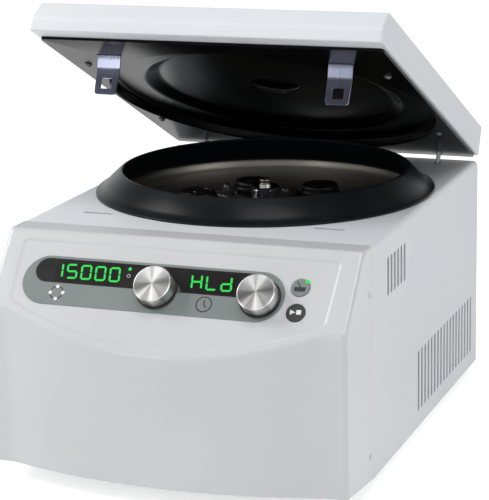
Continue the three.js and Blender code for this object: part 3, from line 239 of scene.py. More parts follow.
# Charcoal ABS, moulded: satin with a fine grain
charcoal_cap, tree, shader, where = finish("charcoal_cap", "#3d3d3d", 0.42)
grain = add(tree, "ShaderNodeTexNoise", {"Vector": where}, {"Scale": 1200.0, "Detail": 2.0}).outputs["Fac"]
tint(tree, shader, grain, "#3a3a3a", "#414141")
relief(tree, shader, grain, 0.01, 0.25)

# Vacuum-formed black styrene: a glossy skin with a slow waviness and fine dust that dulls it in places
black_styrene, tree, shader, where = finish("black_styrene", "#040405", 0.22,
                                            **{"IOR": 1.45, "Specular IOR Level": 0.13})
wave = add(tree, "ShaderNodeTexNoise", {"Vector": where}, {"Scale": 16.0, "Detail": 2.0}).outputs["Fac"]
dust = add(tree, "ShaderNodeTexNoise", {"Vector": where}, {"Scale": 700.0, "Detail": 2.0}).outputs["Fac"]
tint(tree, shader, dust, "#040405", "#080809")
gloss(tree, shader, wave, 0.17, 0.27)
relief(tree, shader, wave, 0.25, 0.25)

# Moulded black nylon: satin, with the fine flow grain of a glass-filled part
black_nylon, tree, shader, where = finish("black_nylon", "#0f0f10", 0.32, **{"IOR": 1.5})
flow = add(tree, "ShaderNodeTexNoise", {"Vector": where}, {"Scale": 500.0, "Detail": 3.0}).outputs["Fac"]
tint(tree, shader, flow, "#0c0c0d", "#141416")
gloss(tree, shader, flow, 0.25, 0.4)
relief(tree, shader, flow, 0.02, 0.3)

# EPDM rubber: charcoal black with a soft sheen, a powdery bloom and a fine moulded grain
epdm_rubber, tree, shader, where = finish("epdm_rubber", "#171b1e", 0.3,
                                          **{"IOR": 1.52, "Specular IOR Level": 0.13})
bloom = add(tree, "ShaderNodeTexNoise", {"Vector": where}, {"Scale": 22.0, "Detail": 3.0}).outputs["Fac"]
skin = add(tree, "ShaderNodeTexNoise", {"Vector": where}, {"Scale": 900.0, "Detail": 2.0}).outputs["Fac"]
tint(tree, shader, bloom, "#14181b", "#1d2225")
gloss(tree, shader, bloom, 0.26, 0.36)
relief(tree, shader, skin, 0.02, 0.3)

# Deep drawn stainless steel: warm grey, brushed round the bowl so that the light runs in rings
drawn_steel, tree, shader, where = finish("drawn_stainless_steel", "#8f8982", 0.36, 1.0)
about = add(tree, "ShaderNodeMapping", {"Vector": where}, {"Scale": (6.0, 6.0, 1400.0)}).outputs["Vector"]
brush = add(tree, "ShaderNodeTexNoise", {"Vector": about}, {"Scale": 1.0, "Detail": 4.0}).outputs["Fac"]
tint(tree, shader, brush, "#857f78", "#99938c")
gloss(tree, shader, brush, 0.3, 0.42)
relief(tree, shader, brush, 0.01, 0.25)

# Spring steel strip: bright, rolled along its length, with shallow rolling lines and a cool tone
spring_steel, tree, shader, where = finish("spring_steel", "#979cb1", 0.26, 1.0)
along = add(tree, "ShaderNodeMapping", {"Vector": where}, {"Scale": (900.0, 25.0, 25.0)}).outputs["Vector"]
roll = add(tree, "ShaderNodeTexNoise", {"Vector": along}, {"Scale": 1.0, "Detail": 3.0}).outputs["Fac"]
tint(tree, shader, roll, "#9297ac", "#9da2b5")
gloss(tree, shader, roll, 0.22, 0.3)
relief(tree, shader, roll, 0.004, 0.15)

# Nickel plated steel: bright with a slight yellow and fine handling marks
nickel_plate, tree, shader, where = finish("nickel_plate", "#cfccc4", 0.2, 1.0)
marks = add(tree, "ShaderNodeTexNoise", {"Vector": where}, {"Scale": 800.0, "Detail": 3.0}).outputs["Fac"]
tint(tree, shader, marks, "#bdbab2", "#dcd9d2")
gloss(tree, shader, marks, 0.14, 0.3)
relief(tree, shader, marks, 0.01, 0.2)

# Chromed steel: bright with a blue cast, and a faint unevenness from the polishing wheel
bright_chrome, tree, shader, where = finish("bright_chrome", "#dfe3ea", 0.14, 1.0)
wheel = add(tree, "ShaderNodeTexNoise", {"Vector": where}, {"Scale": 300.0, "Detail": 2.0}).outputs["Fac"]
tint(tree, shader, wheel, "#d5d9e1", "#e9ecf1")
gloss(tree, shader, wheel, 0.1, 0.2)

# Painted screw heads: the case's white over steel, thinner and greyer where the driver has touched it
painted_head, tree, shader, where = finish("painted_screw_head", "#d3d6d9", 0.36, **{"IOR": 1.5})
touched = add(tree, "ShaderNodeTexNoise", {"Vector": where}, {"Scale": 500.0, "Detail": 3.0}).outputs["Fac"]
tint(tree, shader, touched, "#c9ccce", "#dde0e3")
gloss(tree, shader, touched, 0.3, 0.44)
relief(tree, shader, touched, 0.02, 0.3)

# Blasted steel: pale and matt, with the fine pits of the blasting
blasted_steel, tree, shader, where = finish("blasted_steel", "#d3d5da", 0.66, 1.0)
pits = add(tree, "ShaderNodeTexNoise", {"Vector": where}, {"Scale": 1300.0, "Detail": 2.0}).outputs["Fac"]
tint(tree, shader, pits, "#c6c8ce", "#e0e2e6")
gloss(tree, shader, pits, 0.58, 0.74)
relief(tree, shader, pits, 0.02, 0.3)

# Zinc plated screws and nuts: mid grey, as the plating has gone dull and cloudy
dull_zinc, tree, shader, where = finish("dull_zinc_plate", "#606164", 0.46, 1.0)
cloud = add(tree, "ShaderNodeTexNoise", {"Vector": where}, {"Scale": 600.0, "Detail": 3.0}).outputs["Fac"]
tint(tree, shader, cloud, "#525356", "#6e6f72")
gloss(tree, shader, cloud, 0.4, 0.56)
relief(tree, shader, cloud, 0.01, 0.2)

# Zinc plated sheet: cool grey with the cloudy spangle of the plating
zinc_plate, tree, shader, where = finish("zinc_plate", "#a7abae", 0.42, 1.0)
spangle = add(tree, "ShaderNodeTexVoronoi", {"Vector": where}, {"Scale": 260.0}).outputs["Distance"]
tint(tree, shader, spangle, "#9da1a5", "#b4b8ba")
gloss(tree, shader, spangle, 0.36, 0.52)
relief(tree, shader, spangle, 0.01, 0.2)

# Bead blasted cast aluminium: mid grey and matt, with a 0.6 mm blasted grain
cast_aluminium, tree, shader, where = finish("cast_aluminium", "#76787a", 0.5, 1.0)
blast = add(tree, "ShaderNodeTexNoise", {"Vector": where}, {"Scale": 1600.0, "Detail": 2.0}).outputs["Fac"]
tint(tree, shader, blast, "#6b6d6f", "#858789")
gloss(tree, shader, blast, 0.42, 0.6)
relief(tree, shader, blast, 0.03, 0.5)

# Glass-epoxy board: green solder resist with faint copper tracks 1.2 mm apart under it
epoxy_board, tree, shader, where = finish("epoxy_board", "#1d5a3a", 0.35, **{"IOR": 1.5})
tracks = add(tree, "ShaderNodeTexBrick", {"Vector": where},
             {"Scale": 420.0, "Mortar Size": 0.04, "Color1": linear("#1b5637"), "Color2": linear("#226844"),
              "Mortar": linear("#35815a")})
tree.links.new(tracks.outputs["Color"], shader.inputs["Base Color"])
relief(tree, shader, tracks.outputs["Fac"], 0.03, 0.4)


def turned_aluminium(name, centre):
    """Faced aluminium: fine tool rings about the knob's centre, and a painted reflection: broad bright and
    dark sectors painted into the base colour by angle round the centre.
    """
    made, tree, shader, where = finish(name, "#e0e0df", 0.34, 1.0, **{"Anisotropic": 0.6})
    flat = add(tree, "ShaderNodeMapping", {"Vector": where}, vector_type="TEXTURE")
    flat.inputs["Location"].default_value = PANEL @ Vector(centre)
    flat.inputs["Rotation"].default_value = (math.radians(49), 0, 0)
    round_face = add(tree, "ShaderNodeVectorMath", {0: flat.outputs["Vector"]}, {1: (1, 1, 0)},
                     operation="MULTIPLY").outputs["Vector"]
    radius = add(tree, "ShaderNodeVectorMath", {0: round_face}, operation="LENGTH").outputs["Value"]
    way = add(tree, "ShaderNodeVectorMath", {0: round_face}, operation="NORMALIZE").outputs["Vector"]
    painted_fan_reflection = add(tree, "ShaderNodeTexNoise", {"Vector": way}, {"Scale": 1.15, "Detail": 1.5}).outputs["Fac"]
    grain = add(tree, "ShaderNodeTangent", direction_type="UV_MAP", uv_map="turning").outputs["Tangent"]
    tree.links.new(grain, shader.inputs["Tangent"])
    rings = add(tree, "ShaderNodeTexNoise", {"W": radius}, {"Scale": 2600.0, "Detail": 2.0},
                noise_dimensions="1D").outputs["Fac"]
    # Painted reflection: the bright and dark sectors of the turned face's fan of light, painted into the base
    # colour
    tint(tree, shader, painted_fan_reflection, "#a3a19e", "#fafaf9", (0.4, 0.6))
    gloss(tree, shader, rings, 0.3, 0.42)
    relief(tree, shader, rings, 0.02, 0.35)
    return made


# Mesh tools

def wire(points, closed=False, cuts=None):
    """A chain of edges through a few points, with some corners rounded by the length that each cut takes."""
    bm = bmesh.new()
    verts = [bm.verts.new(p) for p in points]
    pairs = list(zip(verts, verts[1:])) + ([(verts[-1], verts[0])] if closed else [])
    for pair in pairs:
        bm.edges.new(pair)
    for index, cut in (cuts or {}).items():
        bmesh.ops.bevel(bm, geom=[verts[index]], offset=cut, offset_type="OFFSET", segments=5, profile=0.5,
                        affect="VERTICES", material=-1)
    return bm


def clean(bm):
    bmesh.ops.remove_doubles(bm, verts=bm.verts, dist=1e-4)
    bmesh.ops.dissolve_degenerate(bm, edges=bm.edges, dist=1e-5)
    bmesh.ops.recalc_face_normals(bm, faces=bm.faces)
    return bm


def turned(profile, steps=96, closed=False, cuts=None):
    """A turned body about Z from a profile of (radius, height)."""
    bm = wire([(r, 0, z) for r, z in profile], closed, cuts)
    bmesh.ops.spin(bm, geom=bm.verts[:] + bm.edges[:], cent=(0, 0, 0), axis=(0, 0, 1), dvec=(0, 0, 0),
                   angle=TURN, steps=steps, use_merge=True, use_duplicate=False)
    return clean(bm)


def face_towards(bm, direction):
    """Turns an open sheet over if its furthest face looks away from a direction."""
    direction = Vector(direction)
    outer = max(bm.faces, key=lambda f: f.calc_center_median().dot(direction) + abs(f.normal.dot(direction)))
    if outer.normal.dot(direction) < 0:
        bmesh.ops.reverse_faces(bm, faces=bm.faces)
    return bm


def merged(target, *others):
    """Adds the geometry of other meshes to one."""
    for other in others:
        held = bpy.data.meshes.new("held")
        other.to_mesh(held)
        other.free()
        target.from_mesh(held)
        bpy.data.meshes.remove(held)
    return target


def copied(edges, matrix=Matrix()):
    """A loop of edges as a mesh of its own."""
    bm = bmesh.new()
    pairs = {}
    for e in edges:
        for v in e.verts:
            if v not in pairs:
                pairs[v] = bm.verts.new(matrix @ v.co)
        bm.edges.new([pairs[v] for v in e.verts])
    return bm


def moved(bm, *matrices):
    for matrix in matrices:
        bmesh.ops.transform(bm, matrix=matrix, verts=bm.verts)
    return bm


def shift(x, y, z=0.0):
    return Matrix.Translation((x, y, z))


def tilt(degrees, axis):
    return Matrix.Rotation(math.radians(degrees), 4, axis)


def ring(radius, sides=64):
    bm = bmesh.new()
    bmesh.ops.create_circle(bm, cap_ends=False, radius=radius, segments=sides)
    return bm


def slot_loop(width, height, sides=16):
    """An upright slot outline with round ends, in XY about its middle."""
    bm = bmesh.new()
    bmesh.ops.create_circle(bm, cap_ends=False, radius=width / 2, segments=sides)
    bmesh.ops.rotate(bm, cent=(0, 0, 0), matrix=Matrix.Rotation(math.pi / sides, 3, "Z"), verts=bm.verts)
    bmesh.ops.scale(bm, vec=(1 / math.cos(math.pi / sides), 1, 1), verts=bm.verts)
    upper = [v for v in bm.verts if v.co.y > 0]
    lower = [v for v in bm.verts if v.co.y < 0]
    reach = (height - width) / 2
    bmesh.ops.translate(bm, vec=(0, reach, 0), verts=upper)
    bmesh.ops.translate(bm, vec=(0, -reach, 0), verts=lower)
    return bm


def rectangle(x0, x1, y0, y1, corner=0.0):
    corners = ((x0, y0, 0), (x1, y0, 0), (x1, y1, 0), (x0, y1, 0))
    return wire(corners, True, {i: corner for i in range(4)} if corner else None)


def sheet(outline, *holes):
    """A flat sheet inside an outline, open at its holes."""
    bm = merged(outline, *holes)
    bmesh.ops.triangle_fill(bm, use_beauty=True, use_dissolve=False, edges=bm.edges[:])
    bmesh.ops.recalc_face_normals(bm, faces=bm.faces)
    if bm.faces and sum(f.normal.z for f in bm.faces) < 0:
        bmesh.ops.reverse_faces(bm, faces=bm.faces)
    return bm


def plate(bm, thickness):
    """Gives a flat sheet in XY its thickness downwards."""
    top = bm.faces[:]
    made = bmesh.ops.extrude_face_region(bm, geom=top, use_keep_orig=True)
    low = [g for g in made["geom"] if isinstance(g, bmesh.types.BMVert)]
    bmesh.ops.translate(bm, vec=(0, 0, -thickness), verts=low)
    bmesh.ops.recalc_face_normals(bm, faces=bm.faces)
    return bm


def block(x0, x1, y0, y1, z0, z1, edge):
    """A solid block with eased edges."""
    bm = bmesh.new()
    bmesh.ops.create_cube(bm, size=1)
    bmesh.ops.scale(bm, vec=(x1 - x0, y1 - y0, z1 - z0), verts=bm.verts)
    bmesh.ops.translate(bm, vec=((x0 + x1) / 2, (y0 + y1) / 2, (z0 + z1) / 2), verts=bm.verts)
    bmesh.ops.bevel(bm, geom=bm.edges[:], offset=edge, offset_type="OFFSET", segments=3, profile=0.5,
                    affect="EDGES", material=-1)
    return bm


def baked(obj):
    """Fixes an object's modifiers into its mesh."""
    graph = bpy.context.evaluated_depsgraph_get()
    old = obj.data
    obj.data = bpy.data.meshes.new_from_object(obj.evaluated_get(graph))
    obj.modifiers.clear()
    bpy.data.meshes.remove(old)


def through_modifiers(bm, wall=0.0, edge=0.0, weighted=None, segments=2):
    """Runs a mesh through a wall thickness and an edge rounding, and gives the result back."""
    mesh = bpy.data.meshes.new("work")
    if weighted:
        layer = bm.edges.layers.float.new("bevel_weight_edge")
        bm.edges.ensure_lookup_table()
        for index, weight in weighted.items():
            bm.edges[index][layer] = weight
    bm.to_mesh(mesh)
    bm.free()
    obj = bpy.data.objects.new("work", mesh)
    bpy.context.scene.collection.objects.link(obj)
    if wall:
        shell = obj.modifiers.new("wall", "SOLIDIFY")
        shell.thickness, shell.offset, shell.use_even_offset = wall, -1, True
    if edge:
        rounding = obj.modifiers.new("edge", "BEVEL")
        rounding.width, rounding.segments = edge, segments
        rounding.use_clamp_overlap = True
        if weighted:
            rounding.limit_method = "WEIGHT"
        else:
            rounding.limit_method, rounding.angle_limit = "ANGLE", math.radians(40)
    baked(obj)
    out = bmesh.new()
    out.from_mesh(obj.data)
    mesh = obj.data
    bpy.data.objects.remove(obj)
    bpy.data.meshes.remove(mesh)
    return out


def piece(name, bm, place, body, materials, stands_for=(), sharp=32):
    """Places a finished mesh, shades it and lets it ride on its body."""
    bmesh.ops.transform(bm, matrix=place, verts=bm.verts)
    mesh = bpy.data.meshes.new(name)
    bm.to_mesh(mesh)
    bm.free()
    for face in mesh.polygons:
        face.use_smooth = True
    mesh.set_sharp_from_angle(angle=math.radians(sharp))
    for material in materials if isinstance(materials, (list, tuple)) else [materials]:
        mesh.materials.append(material)
    obj = bpy.data.objects.new(name, mesh)
    bpy.context.scene.collection.objects.link(obj)
    even = obj.modifiers.new("even_shading", "WEIGHTED_NORMAL")
    even.keep_sharp = True
    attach(obj, body)
    if stands_for:
        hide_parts(*stands_for)
    return obj


# Case cover: one sheet bent over the top, with the chamber mouth, latch and hinge slots, and vents

def vent_row(count, start, pitch, length, middle):
    """Upright vent slots of one row in a flank, from the front back."""
    return [moved(slot_loop(5, length, 12), shift(start + pitch * i, middle)) for i in range(count)]


def case_cover():
    holes = [moved(ring(MOUTH_RADIUS, WIDE_SIDES), shift(0, CHAMBER_Y))]
    for side in SIDES.values():
        holes.append(moved(slot_loop(5, 30), tilt(90, "Z"), shift(side * LATCH_X, LATCH_SLOT_Y)))
        holes.append(moved(rectangle(-3, 3, -7.75, 7.75, 1.5), shift(side * ARM_X, ARM_SLOT_Y)))
    flat = HALF_CASE - BEND
    top = sheet(rectangle(-flat, flat, 0, CASE_DEPTH), *holes)
    moved(top, shift(0, 0, CASE_TOP))
    flanks = []
    for side in SIDES.values():
        upper = vent_row(count=6, start=45.5, pitch=10.2, length=35.5, middle=171.25)
        lower = vent_row(count=18, start=143.5, pitch=11.35, length=59, middle=45)
        flank = sheet(rectangle(0, CASE_DEPTH, 0, CASE_TOP - BEND), *upper, *lower)
        flanks.append(moved(flank, tilt(90, "X"), tilt(90, "Z"), shift(side * HALF_CASE, 0)))
        bend = wire([(side * flat, 0, CASE_TOP), (side * flat, CASE_DEPTH, CASE_TOP)])
        bmesh.ops.spin(bend, geom=bend.verts[:] + bend.edges[:], cent=(side * flat, 0, CASE_TOP - BEND),
                       axis=(0, 1, 0), dvec=(0, 0, 0), angle=side * math.pi / 2, steps=8, use_merge=False,
                       use_duplicate=False)
        flanks.append(bend)
    bm = face_towards(clean(merged(top, *flanks)), (0, 0, 1))
    return through_modifiers(bm, wall=SHEET, edge=0.3)


piece("cover", case_cover(), BENCH, "case", powder_coat, ["case_cover"])


# Bowed front: walls raised from the plan, cut by the leaning face, rounded, then given its recessed field

def nearest(bm, x, y, z):
    return min(bm.verts, key=lambda v: (v.co - Vector((x, y, z))).length)


def bow_plan():
    """The plan's line from the back of the left cheek round the bow to the back of the right one."""
    bow_radius = (FRONT_HALF_BOW ** 2 + FRONT_BOW ** 2) / (2 * FRONT_BOW)
    centre = bow_radius - FRONT_DEPTH - FRONT_BOW
    bm = bmesh.new()
    start = bm.verts.new((FRONT_HALF_BOW, -FRONT_DEPTH, 0))
    bmesh.ops.spin(bm, geom=[start], cent=(0, centre, 0), axis=(0, 0, 1), dvec=(0, 0, 0),
                   angle=-2 * math.asin(FRONT_HALF_BOW / bow_radius), steps=30, use_merge=False,
                   use_duplicate=False)
    for side in SIDES.values():
        end = nearest(bm, side * FRONT_HALF_BOW, -FRONT_DEPTH, 0)
        corner = bm.verts.new((side * HALF_CASE, -FRONT_DEPTH, 0))
        back = bm.verts.new((side * HALF_CASE, -SEAM, 0))
        bm.edges.new((end, corner))
        bm.edges.new((corner, back))
        bmesh.ops.bevel(bm, geom=[end], offset=6, offset_type="OFFSET", segments=4, profile=0.5,
                        affect="VERTICES", material=-1)
        bmesh.ops.bevel(bm, geom=[corner], offset=5, offset_type="OFFSET", segments=5, profile=0.5,
                        affect="VERTICES", material=-1)
    return bm


def field_outline(grow):
    """Outline of the control field in the leaning face's axes, a little larger by the lip's width."""
    bm = bmesh.new()
    half, foot, side_foot = 145 + grow, 105 + grow, 70 + grow / 2
    rise = foot - side_foot
    radius = (half ** 2 + rise ** 2) / (2 * rise)
    start = bm.verts.new((-half, -side_foot, 0))
    bmesh.ops.spin(bm, geom=[start], cent=(0, radius - foot, 0), axis=(0, 0, 1), dvec=(0, 0, 0),
                   angle=2 * math.asin(half / radius), steps=36, use_merge=False, use_duplicate=False)
    ends = [nearest(bm, side * half, -side_foot, 0) for side in SIDES.values()]
    tops = [bm.verts.new((side * (147.5 + grow), grow - 10.5, 0)) for side in SIDES.values()]
    for end, top in zip(ends, tops):
        bm.edges.new((end, top))
    bm.edges.new(tops)
    for corners, cut in ((ends, 4), (tops, 6)):
        bmesh.ops.bevel(bm, geom=corners, offset=cut, offset_type="OFFSET", segments=5, profile=0.5,
                        affect="VERTICES", material=-1)
    return bm


# Width and drop of each strip down the lip of the field, which rolls over and meets the floor in a small cove
FIELD_LIP = ((0.9, 0.04), (0.7, 0.12), (0.5, 0.2), (0.3, 0.22), (0.3, 0.2), (0.5, 0.16), (0.6, 0.06))


def fold_weights(bm):
    """How much each fold of the moulding is rounded, as a share of the widest rounding."""
    bm.edges.index_update()
    weights = {}
    for e in bm.edges:
        if len(e.link_faces) != 2:
            continue
        normals = [f.normal for f in e.link_faces]
        if any(abs(n.dot(SLOPE_NORMAL)) > 0.999 for n in normals):
            other = min(normals, key=lambda n: n.dot(SLOPE_NORMAL))
            if other.z > 0.9:
                weights[e.index] = 0.85
            elif abs(other.x) > 0.98:
                weights[e.index] = 1.0
            else:
                weights[e.index] = 0.5 + 0.4 * abs(other.x) ** 2
        elif any(n.z > 0.5 for n in normals) and any(abs(n.x) > 0.98 for n in normals):
            weights[e.index] = 0.66
        elif any(n.z < -0.9 for n in normals):
            weights[e.index] = 0.2
    return weights


def slope_rim(bm, slack):
    """Open edges that lie in the leaning face."""
    return [e for e in bm.edges if e.is_boundary
            and all(abs((v.co - SLOPE_POINT).dot(SLOPE_NORMAL)) < slack for v in e.verts)]


def recessed_field(lip_width):
    """The control field's lip and its floor, open at the two buttons."""
    field = field_outline(lip_width)
    bmesh.ops.contextual_create(field, geom=field.edges[:])
    if field.faces[:][0].normal.z < 0:
        bmesh.ops.reverse_faces(field, faces=field.faces)
    for width, drop in FIELD_LIP:
        floor = max(field.faces, key=lambda f: f.calc_area())
        bmesh.ops.inset_region(field, faces=[floor], thickness=width, depth=0, use_even_offset=True,
                               use_boundary=True)
        floor = max(field.faces, key=lambda f: f.calc_area())
        bmesh.ops.translate(field, vec=(0, 0, -drop), verts=floor.verts[:])
    floor = max(field.faces, key=lambda f: f.calc_area())
    inner = wire([v.co for v in floor.verts], True)
    bmesh.ops.delete(field, geom=[floor], context="FACES_ONLY")
    holes = [moved(ring(8.6, 48), shift(x, -s, FIELD_FLOOR)) for x, s in BUTTONS.values()]
    return merged(field, sheet(inner, *holes))


def front_moulding():
    bm = bow_plan()
    made = bmesh.ops.extrude_edge_only(bm, edges=bm.edges[:])
    raised = {g for g in made["geom"] if isinstance(g, bmesh.types.BMVert)}
    lower = [v for v in bm.verts if v not in raised]
    bmesh.ops.translate(bm, vec=(0, 0, CASE_TOP + 2), verts=list(raised))
    for v in lower:
        v.co.z = 7.75 * min(1, -v.co.y / FRONT_DEPTH)
    for point, normal in ((SLOPE_POINT, SLOPE_NORMAL), (Vector((0, 0, CASE_TOP)), Vector((0, 0, 1)))):
        bmesh.ops.bisect_plane(bm, geom=bm.verts[:] + bm.edges[:] + bm.faces[:], dist=1e-4, plane_co=point,
                               plane_no=normal, clear_outer=True)
    bmesh.ops.remove_doubles(bm, verts=bm.verts, dist=1e-3)
    ledge = ((HALF_CASE, -SEAM), (HALF_CASE, LEAN_Y), (-HALF_CASE, LEAN_Y), (-HALF_CASE, -SEAM))
    bm.faces.new([nearest(bm, x, y, CASE_TOP) for x, y in ledge])
    bmesh.ops.contextual_create(bm, geom=slope_rim(bm, 0.01))
    low_rim = [e for e in bm.edges if e.is_boundary and max(v.co.z for v in e.verts) < 8]
    bmesh.ops.contextual_create(bm, geom=low_rim)
    bmesh.ops.recalc_face_normals(bm, faces=bm.faces)
    face_towards(bm, (0, 0, 1))
    bm = through_modifiers(bm, edge=9.0, weighted=fold_weights(bm), segments=6)
    big = max(bm.faces, key=lambda f: f.calc_area() if f.normal.dot(SLOPE_NORMAL) > 0.9999 else 0)
    bmesh.ops.delete(bm, geom=[big], context="FACES_ONLY")
    lip_width = sum(width for width, _ in FIELD_LIP) / 2
    border = sheet(copied(slope_rim(bm, 0.02), PANEL.inverted() @ BENCH), field_outline(lip_width))
    merged(bm, moved(merged(border, recessed_field(lip_width)), PANEL, BENCH.inverted()))
    bmesh.ops.remove_doubles(bm, verts=bm.verts, dist=2e-3)
    bmesh.ops.recalc_face_normals(bm, faces=bm.faces)
    face_towards(bm, (0, 0, 1))
    return through_modifiers(bm, wall=2.2)


front = piece("front_moulding", front_moulding(), BENCH, "case", [moulded_abs, ledge_abs_painted_shade],
              ["front_fascia"])
# The ledge's upward faces take the darker copy of the moulding: painted shade on the top of the front
for face in front.data.polygons:
    face.material_index = 1 if face.normal.z > 0.95 and face.center.z > BENCH.translation.z + 0.2 else 0


# Lid: a folded shell with a flange round its mouth, over a formed black liner

def lid_shell():
    profile = ((-370.1, LID_FOOT), (3.9, LID_FOOT), (3.9, LID_TOP), (-357.1, LID_TOP), (-370.1, 30.9))
    bm = wire([(-HALF_CASE, y, z) for y, z in profile], True)
    bmesh.ops.contextual_create(bm, geom=bm.edges[:])
    made = bmesh.ops.extrude_face_region(bm, geom=bm.faces[:], use_keep_orig=True)
    far = [g for g in made["geom"] if isinstance(g, bmesh.types.BMVert)]
    bmesh.ops.translate(bm, vec=(2 * HALF_CASE, 0, 0), verts=far)
    bmesh.ops.recalc_face_normals(bm, faces=bm.faces)
    folds = [e for e in bm.edges if max(v.co.z for v in e.verts) > LID_FOOT + 0.1]
    bmesh.ops.bevel(bm, geom=folds, offset=3, offset_type="OFFSET", segments=5, profile=0.5, affect="EDGES",
                    material=-1)
    base = min(bm.faces, key=lambda f: f.normal.z - f.calc_area() * 1e-3)
    bmesh.ops.bevel(bm, geom=base.edges[:], offset=1.4, offset_type="OFFSET", segments=4, profile=0.5,
                    affect="EDGES", material=-1)
    base = min(bm.faces, key=lambda f: f.normal.z - f.calc_area() * 1e-3)
    edges = base.edges[:]
    bmesh.ops.delete(bm, geom=[base], context="FACES_ONLY")
    mouth = moved(rectangle(-160.5, 160.5, -352.1, -5.6, 2), shift(0, 0, LID_FOOT))
    merged(bm, sheet(copied(edges), mouth))
    bmesh.ops.remove_doubles(bm, verts=bm.verts, dist=2e-3)
    bmesh.ops.recalc_face_normals(bm, faces=bm.faces)
    return through_modifiers(face_towards(bm, (0, 0, 1)), wall=SHEET)


piece("lid_cover", lid_shell(), LID, "lid", powder_coat, ["lid_shell"])


def lid_liner():
    holes = [moved(ring(DISH_RADIUS, WIDE_SIDES), shift(0, DISH_Y))]
    for side in SIDES.values():
        holes.append(rectangle(side * LATCH_X - 12.1, side * LATCH_X + 12.1, -313.5, -308, 0.8))
        holes.append(rectangle(side * ARM_X - 3, side * ARM_X + 3, -15.1, -5.9, 0.8))
        holes += [moved(ring(2.1, 24), shift(side * STUD_X, y)) for y in STUD_Y.values()]
    flat = moved(sheet(rectangle(-161.5, 161.5, -353.6, -0.1, 4), *holes), shift(0, 0, LINER_Z))
    dish = turned([(DISH_RADIUS, LINER_Z), (158.2, LINER_Z), (155.6, 25.6), (125.5, 25.6), (113, 32.6),
                   (27.4, 33)], WIDE_SIDES, cuts={1: 1.4, 2: 2.5, 3: 2.5, 4: 2.5})
    bm = clean(merged(flat, moved(dish, shift(0, DISH_Y))))
    return through_modifiers(face_towards(bm, (0, 0, -1)), wall=2.5, edge=0.4)


piece("liner", lid_liner(), LID, "lid", black_styrene, ["lid_liner"])

port = turned([(0, 39.4), (24.4, 40.4), (25.6, 33.4), (27, 32.7), (27, 35.9), (29.5, 35.9), (29.5, 37.2),
               (27, 37.2), (27, 41.9), (0, 41.9)], 96, cuts={1: 4, 2: 0.6, 3: 0.4})
piece("port_cup", moved(port, shift(0, DISH_Y)), LID, "lid", black_styrene, ["lid_port"])


def liner_screw():
    """A domed cap nut on a washer, seen from below, with its stud up into the lid."""
    return turned([(0, 13.1), (1.6, 13.2), (2.5, 13.9), (2.75, 14.6), (3.6, 14.7), (3.6, 15.3), (1.8, 15.3),
                   (1.8, ROOF_Z), (0, ROOF_Z)], 32, cuts={2: 0.4, 4: 0.15})


for end, y in STUD_Y.items():
    for hand, side in SIDES.items():
        piece(f"stud_{end}_{hand}", moved(liner_screw(), shift(side * STUD_X, y)), LID, "lid",
              dull_zinc, [f"liner_screw_{end}_{hand}"])


def latch_strip(side):
    """A bent spring strip: foot under the lid, drop through the liner, and a tongue with a square window."""
    tongue = wire([(-10.5, -20.6, 0), (10.5, -20.6, 0), (STRIP_HALF, 1.5, 0), (-STRIP_HALF, 1.5, 0)],
                  True, {0: 3, 1: 3})
    tongue = sheet(tongue, rectangle(-5.3, 5.3, -15, -5.2, 1))
    moved(tongue, tilt(90, "X"), shift(0, TONGUE_Y))
    run = ((-290.1, ROOF_Z), (-310.1, ROOF_Z), (-310.1, LINER_Z), (TONGUE_Y, 3.4), (TONGUE_Y, 1.5))
    line = wire([(-STRIP_HALF, y, z) for y, z in run], False, {1: 2, 2: 4, 3: 1.5})
    made = bmesh.ops.extrude_edge_only(line, edges=line.edges[:])
    far = [g for g in made["geom"] if isinstance(g, bmesh.types.BMVert)]
    bmesh.ops.translate(line, vec=(2 * STRIP_HALF, 0, 0), verts=far)
    bm = face_towards(clean(merged(tongue, line)), (0, -1, 0))
    return moved(through_modifiers(bm, wall=SHEET, edge=0.35), shift(side * LATCH_X, 0))


for hand, side in SIDES.items():
    piece(f"latch_tongue_{hand}", latch_strip(side), LID, "lid", spring_steel,
          [f"latch_strip_{hand}"])


def hinge_plates():
    """Two plates that hang from a cross bar in the lid and end in an eye round the hinge rod."""
    bar = block(-140, 140, -30, -6.5, ROOF_Z - 3, ROOF_Z, 0.6)
    for side in SIDES.values():
        outline = wire([(-14.5, -4.8, 0), (4.8, -4.8, 0), (4.8, 4.8, 0), (-6.5, 4.8, 0), (-6.5, 45, 0),
                        (-14.5, 45, 0)], True, {0: 2.5, 1: 4.7, 2: 4.7, 3: 2.5})
        flat = plate(sheet(outline, ring(2.7, 32)), 3)
        bmesh.ops.bevel(flat, geom=[e for e in flat.edges if e.calc_face_angle(0) > 0.8], offset=1.1,
                        offset_type="OFFSET", segments=4, profile=0.5, affect="EDGES", material=-1)
        merged(bar, moved(flat, shift(0, 0, 1.5), tilt(90, "X"), tilt(90, "Z"), shift(side * ARM_X, 0)))
    return bar


piece("hinge_plates", hinge_plates(), LID, "lid", blasted_steel, ["hinge_arms"])


# Spin chamber: drawn bowl under a soft tapered gasket

bowl = turned([(153, 208.2), (149.6, 208.2), (147.4, 202.6), (146.4, 190), (145, 98), (24, 98), (24, 106)],
              WIDE_SIDES, cuts={1: 2.2, 2: 3.2, 3: 6, 4: 14, 5: 3})
bowl = moved(face_towards(bowl, (0, 0, 1)), shift(0, CHAMBER_Y))
piece("chamber_bowl", through_modifiers(bowl, wall=SHEET, edge=0.3), BENCH, "case",
      drawn_steel, ["bowl"])

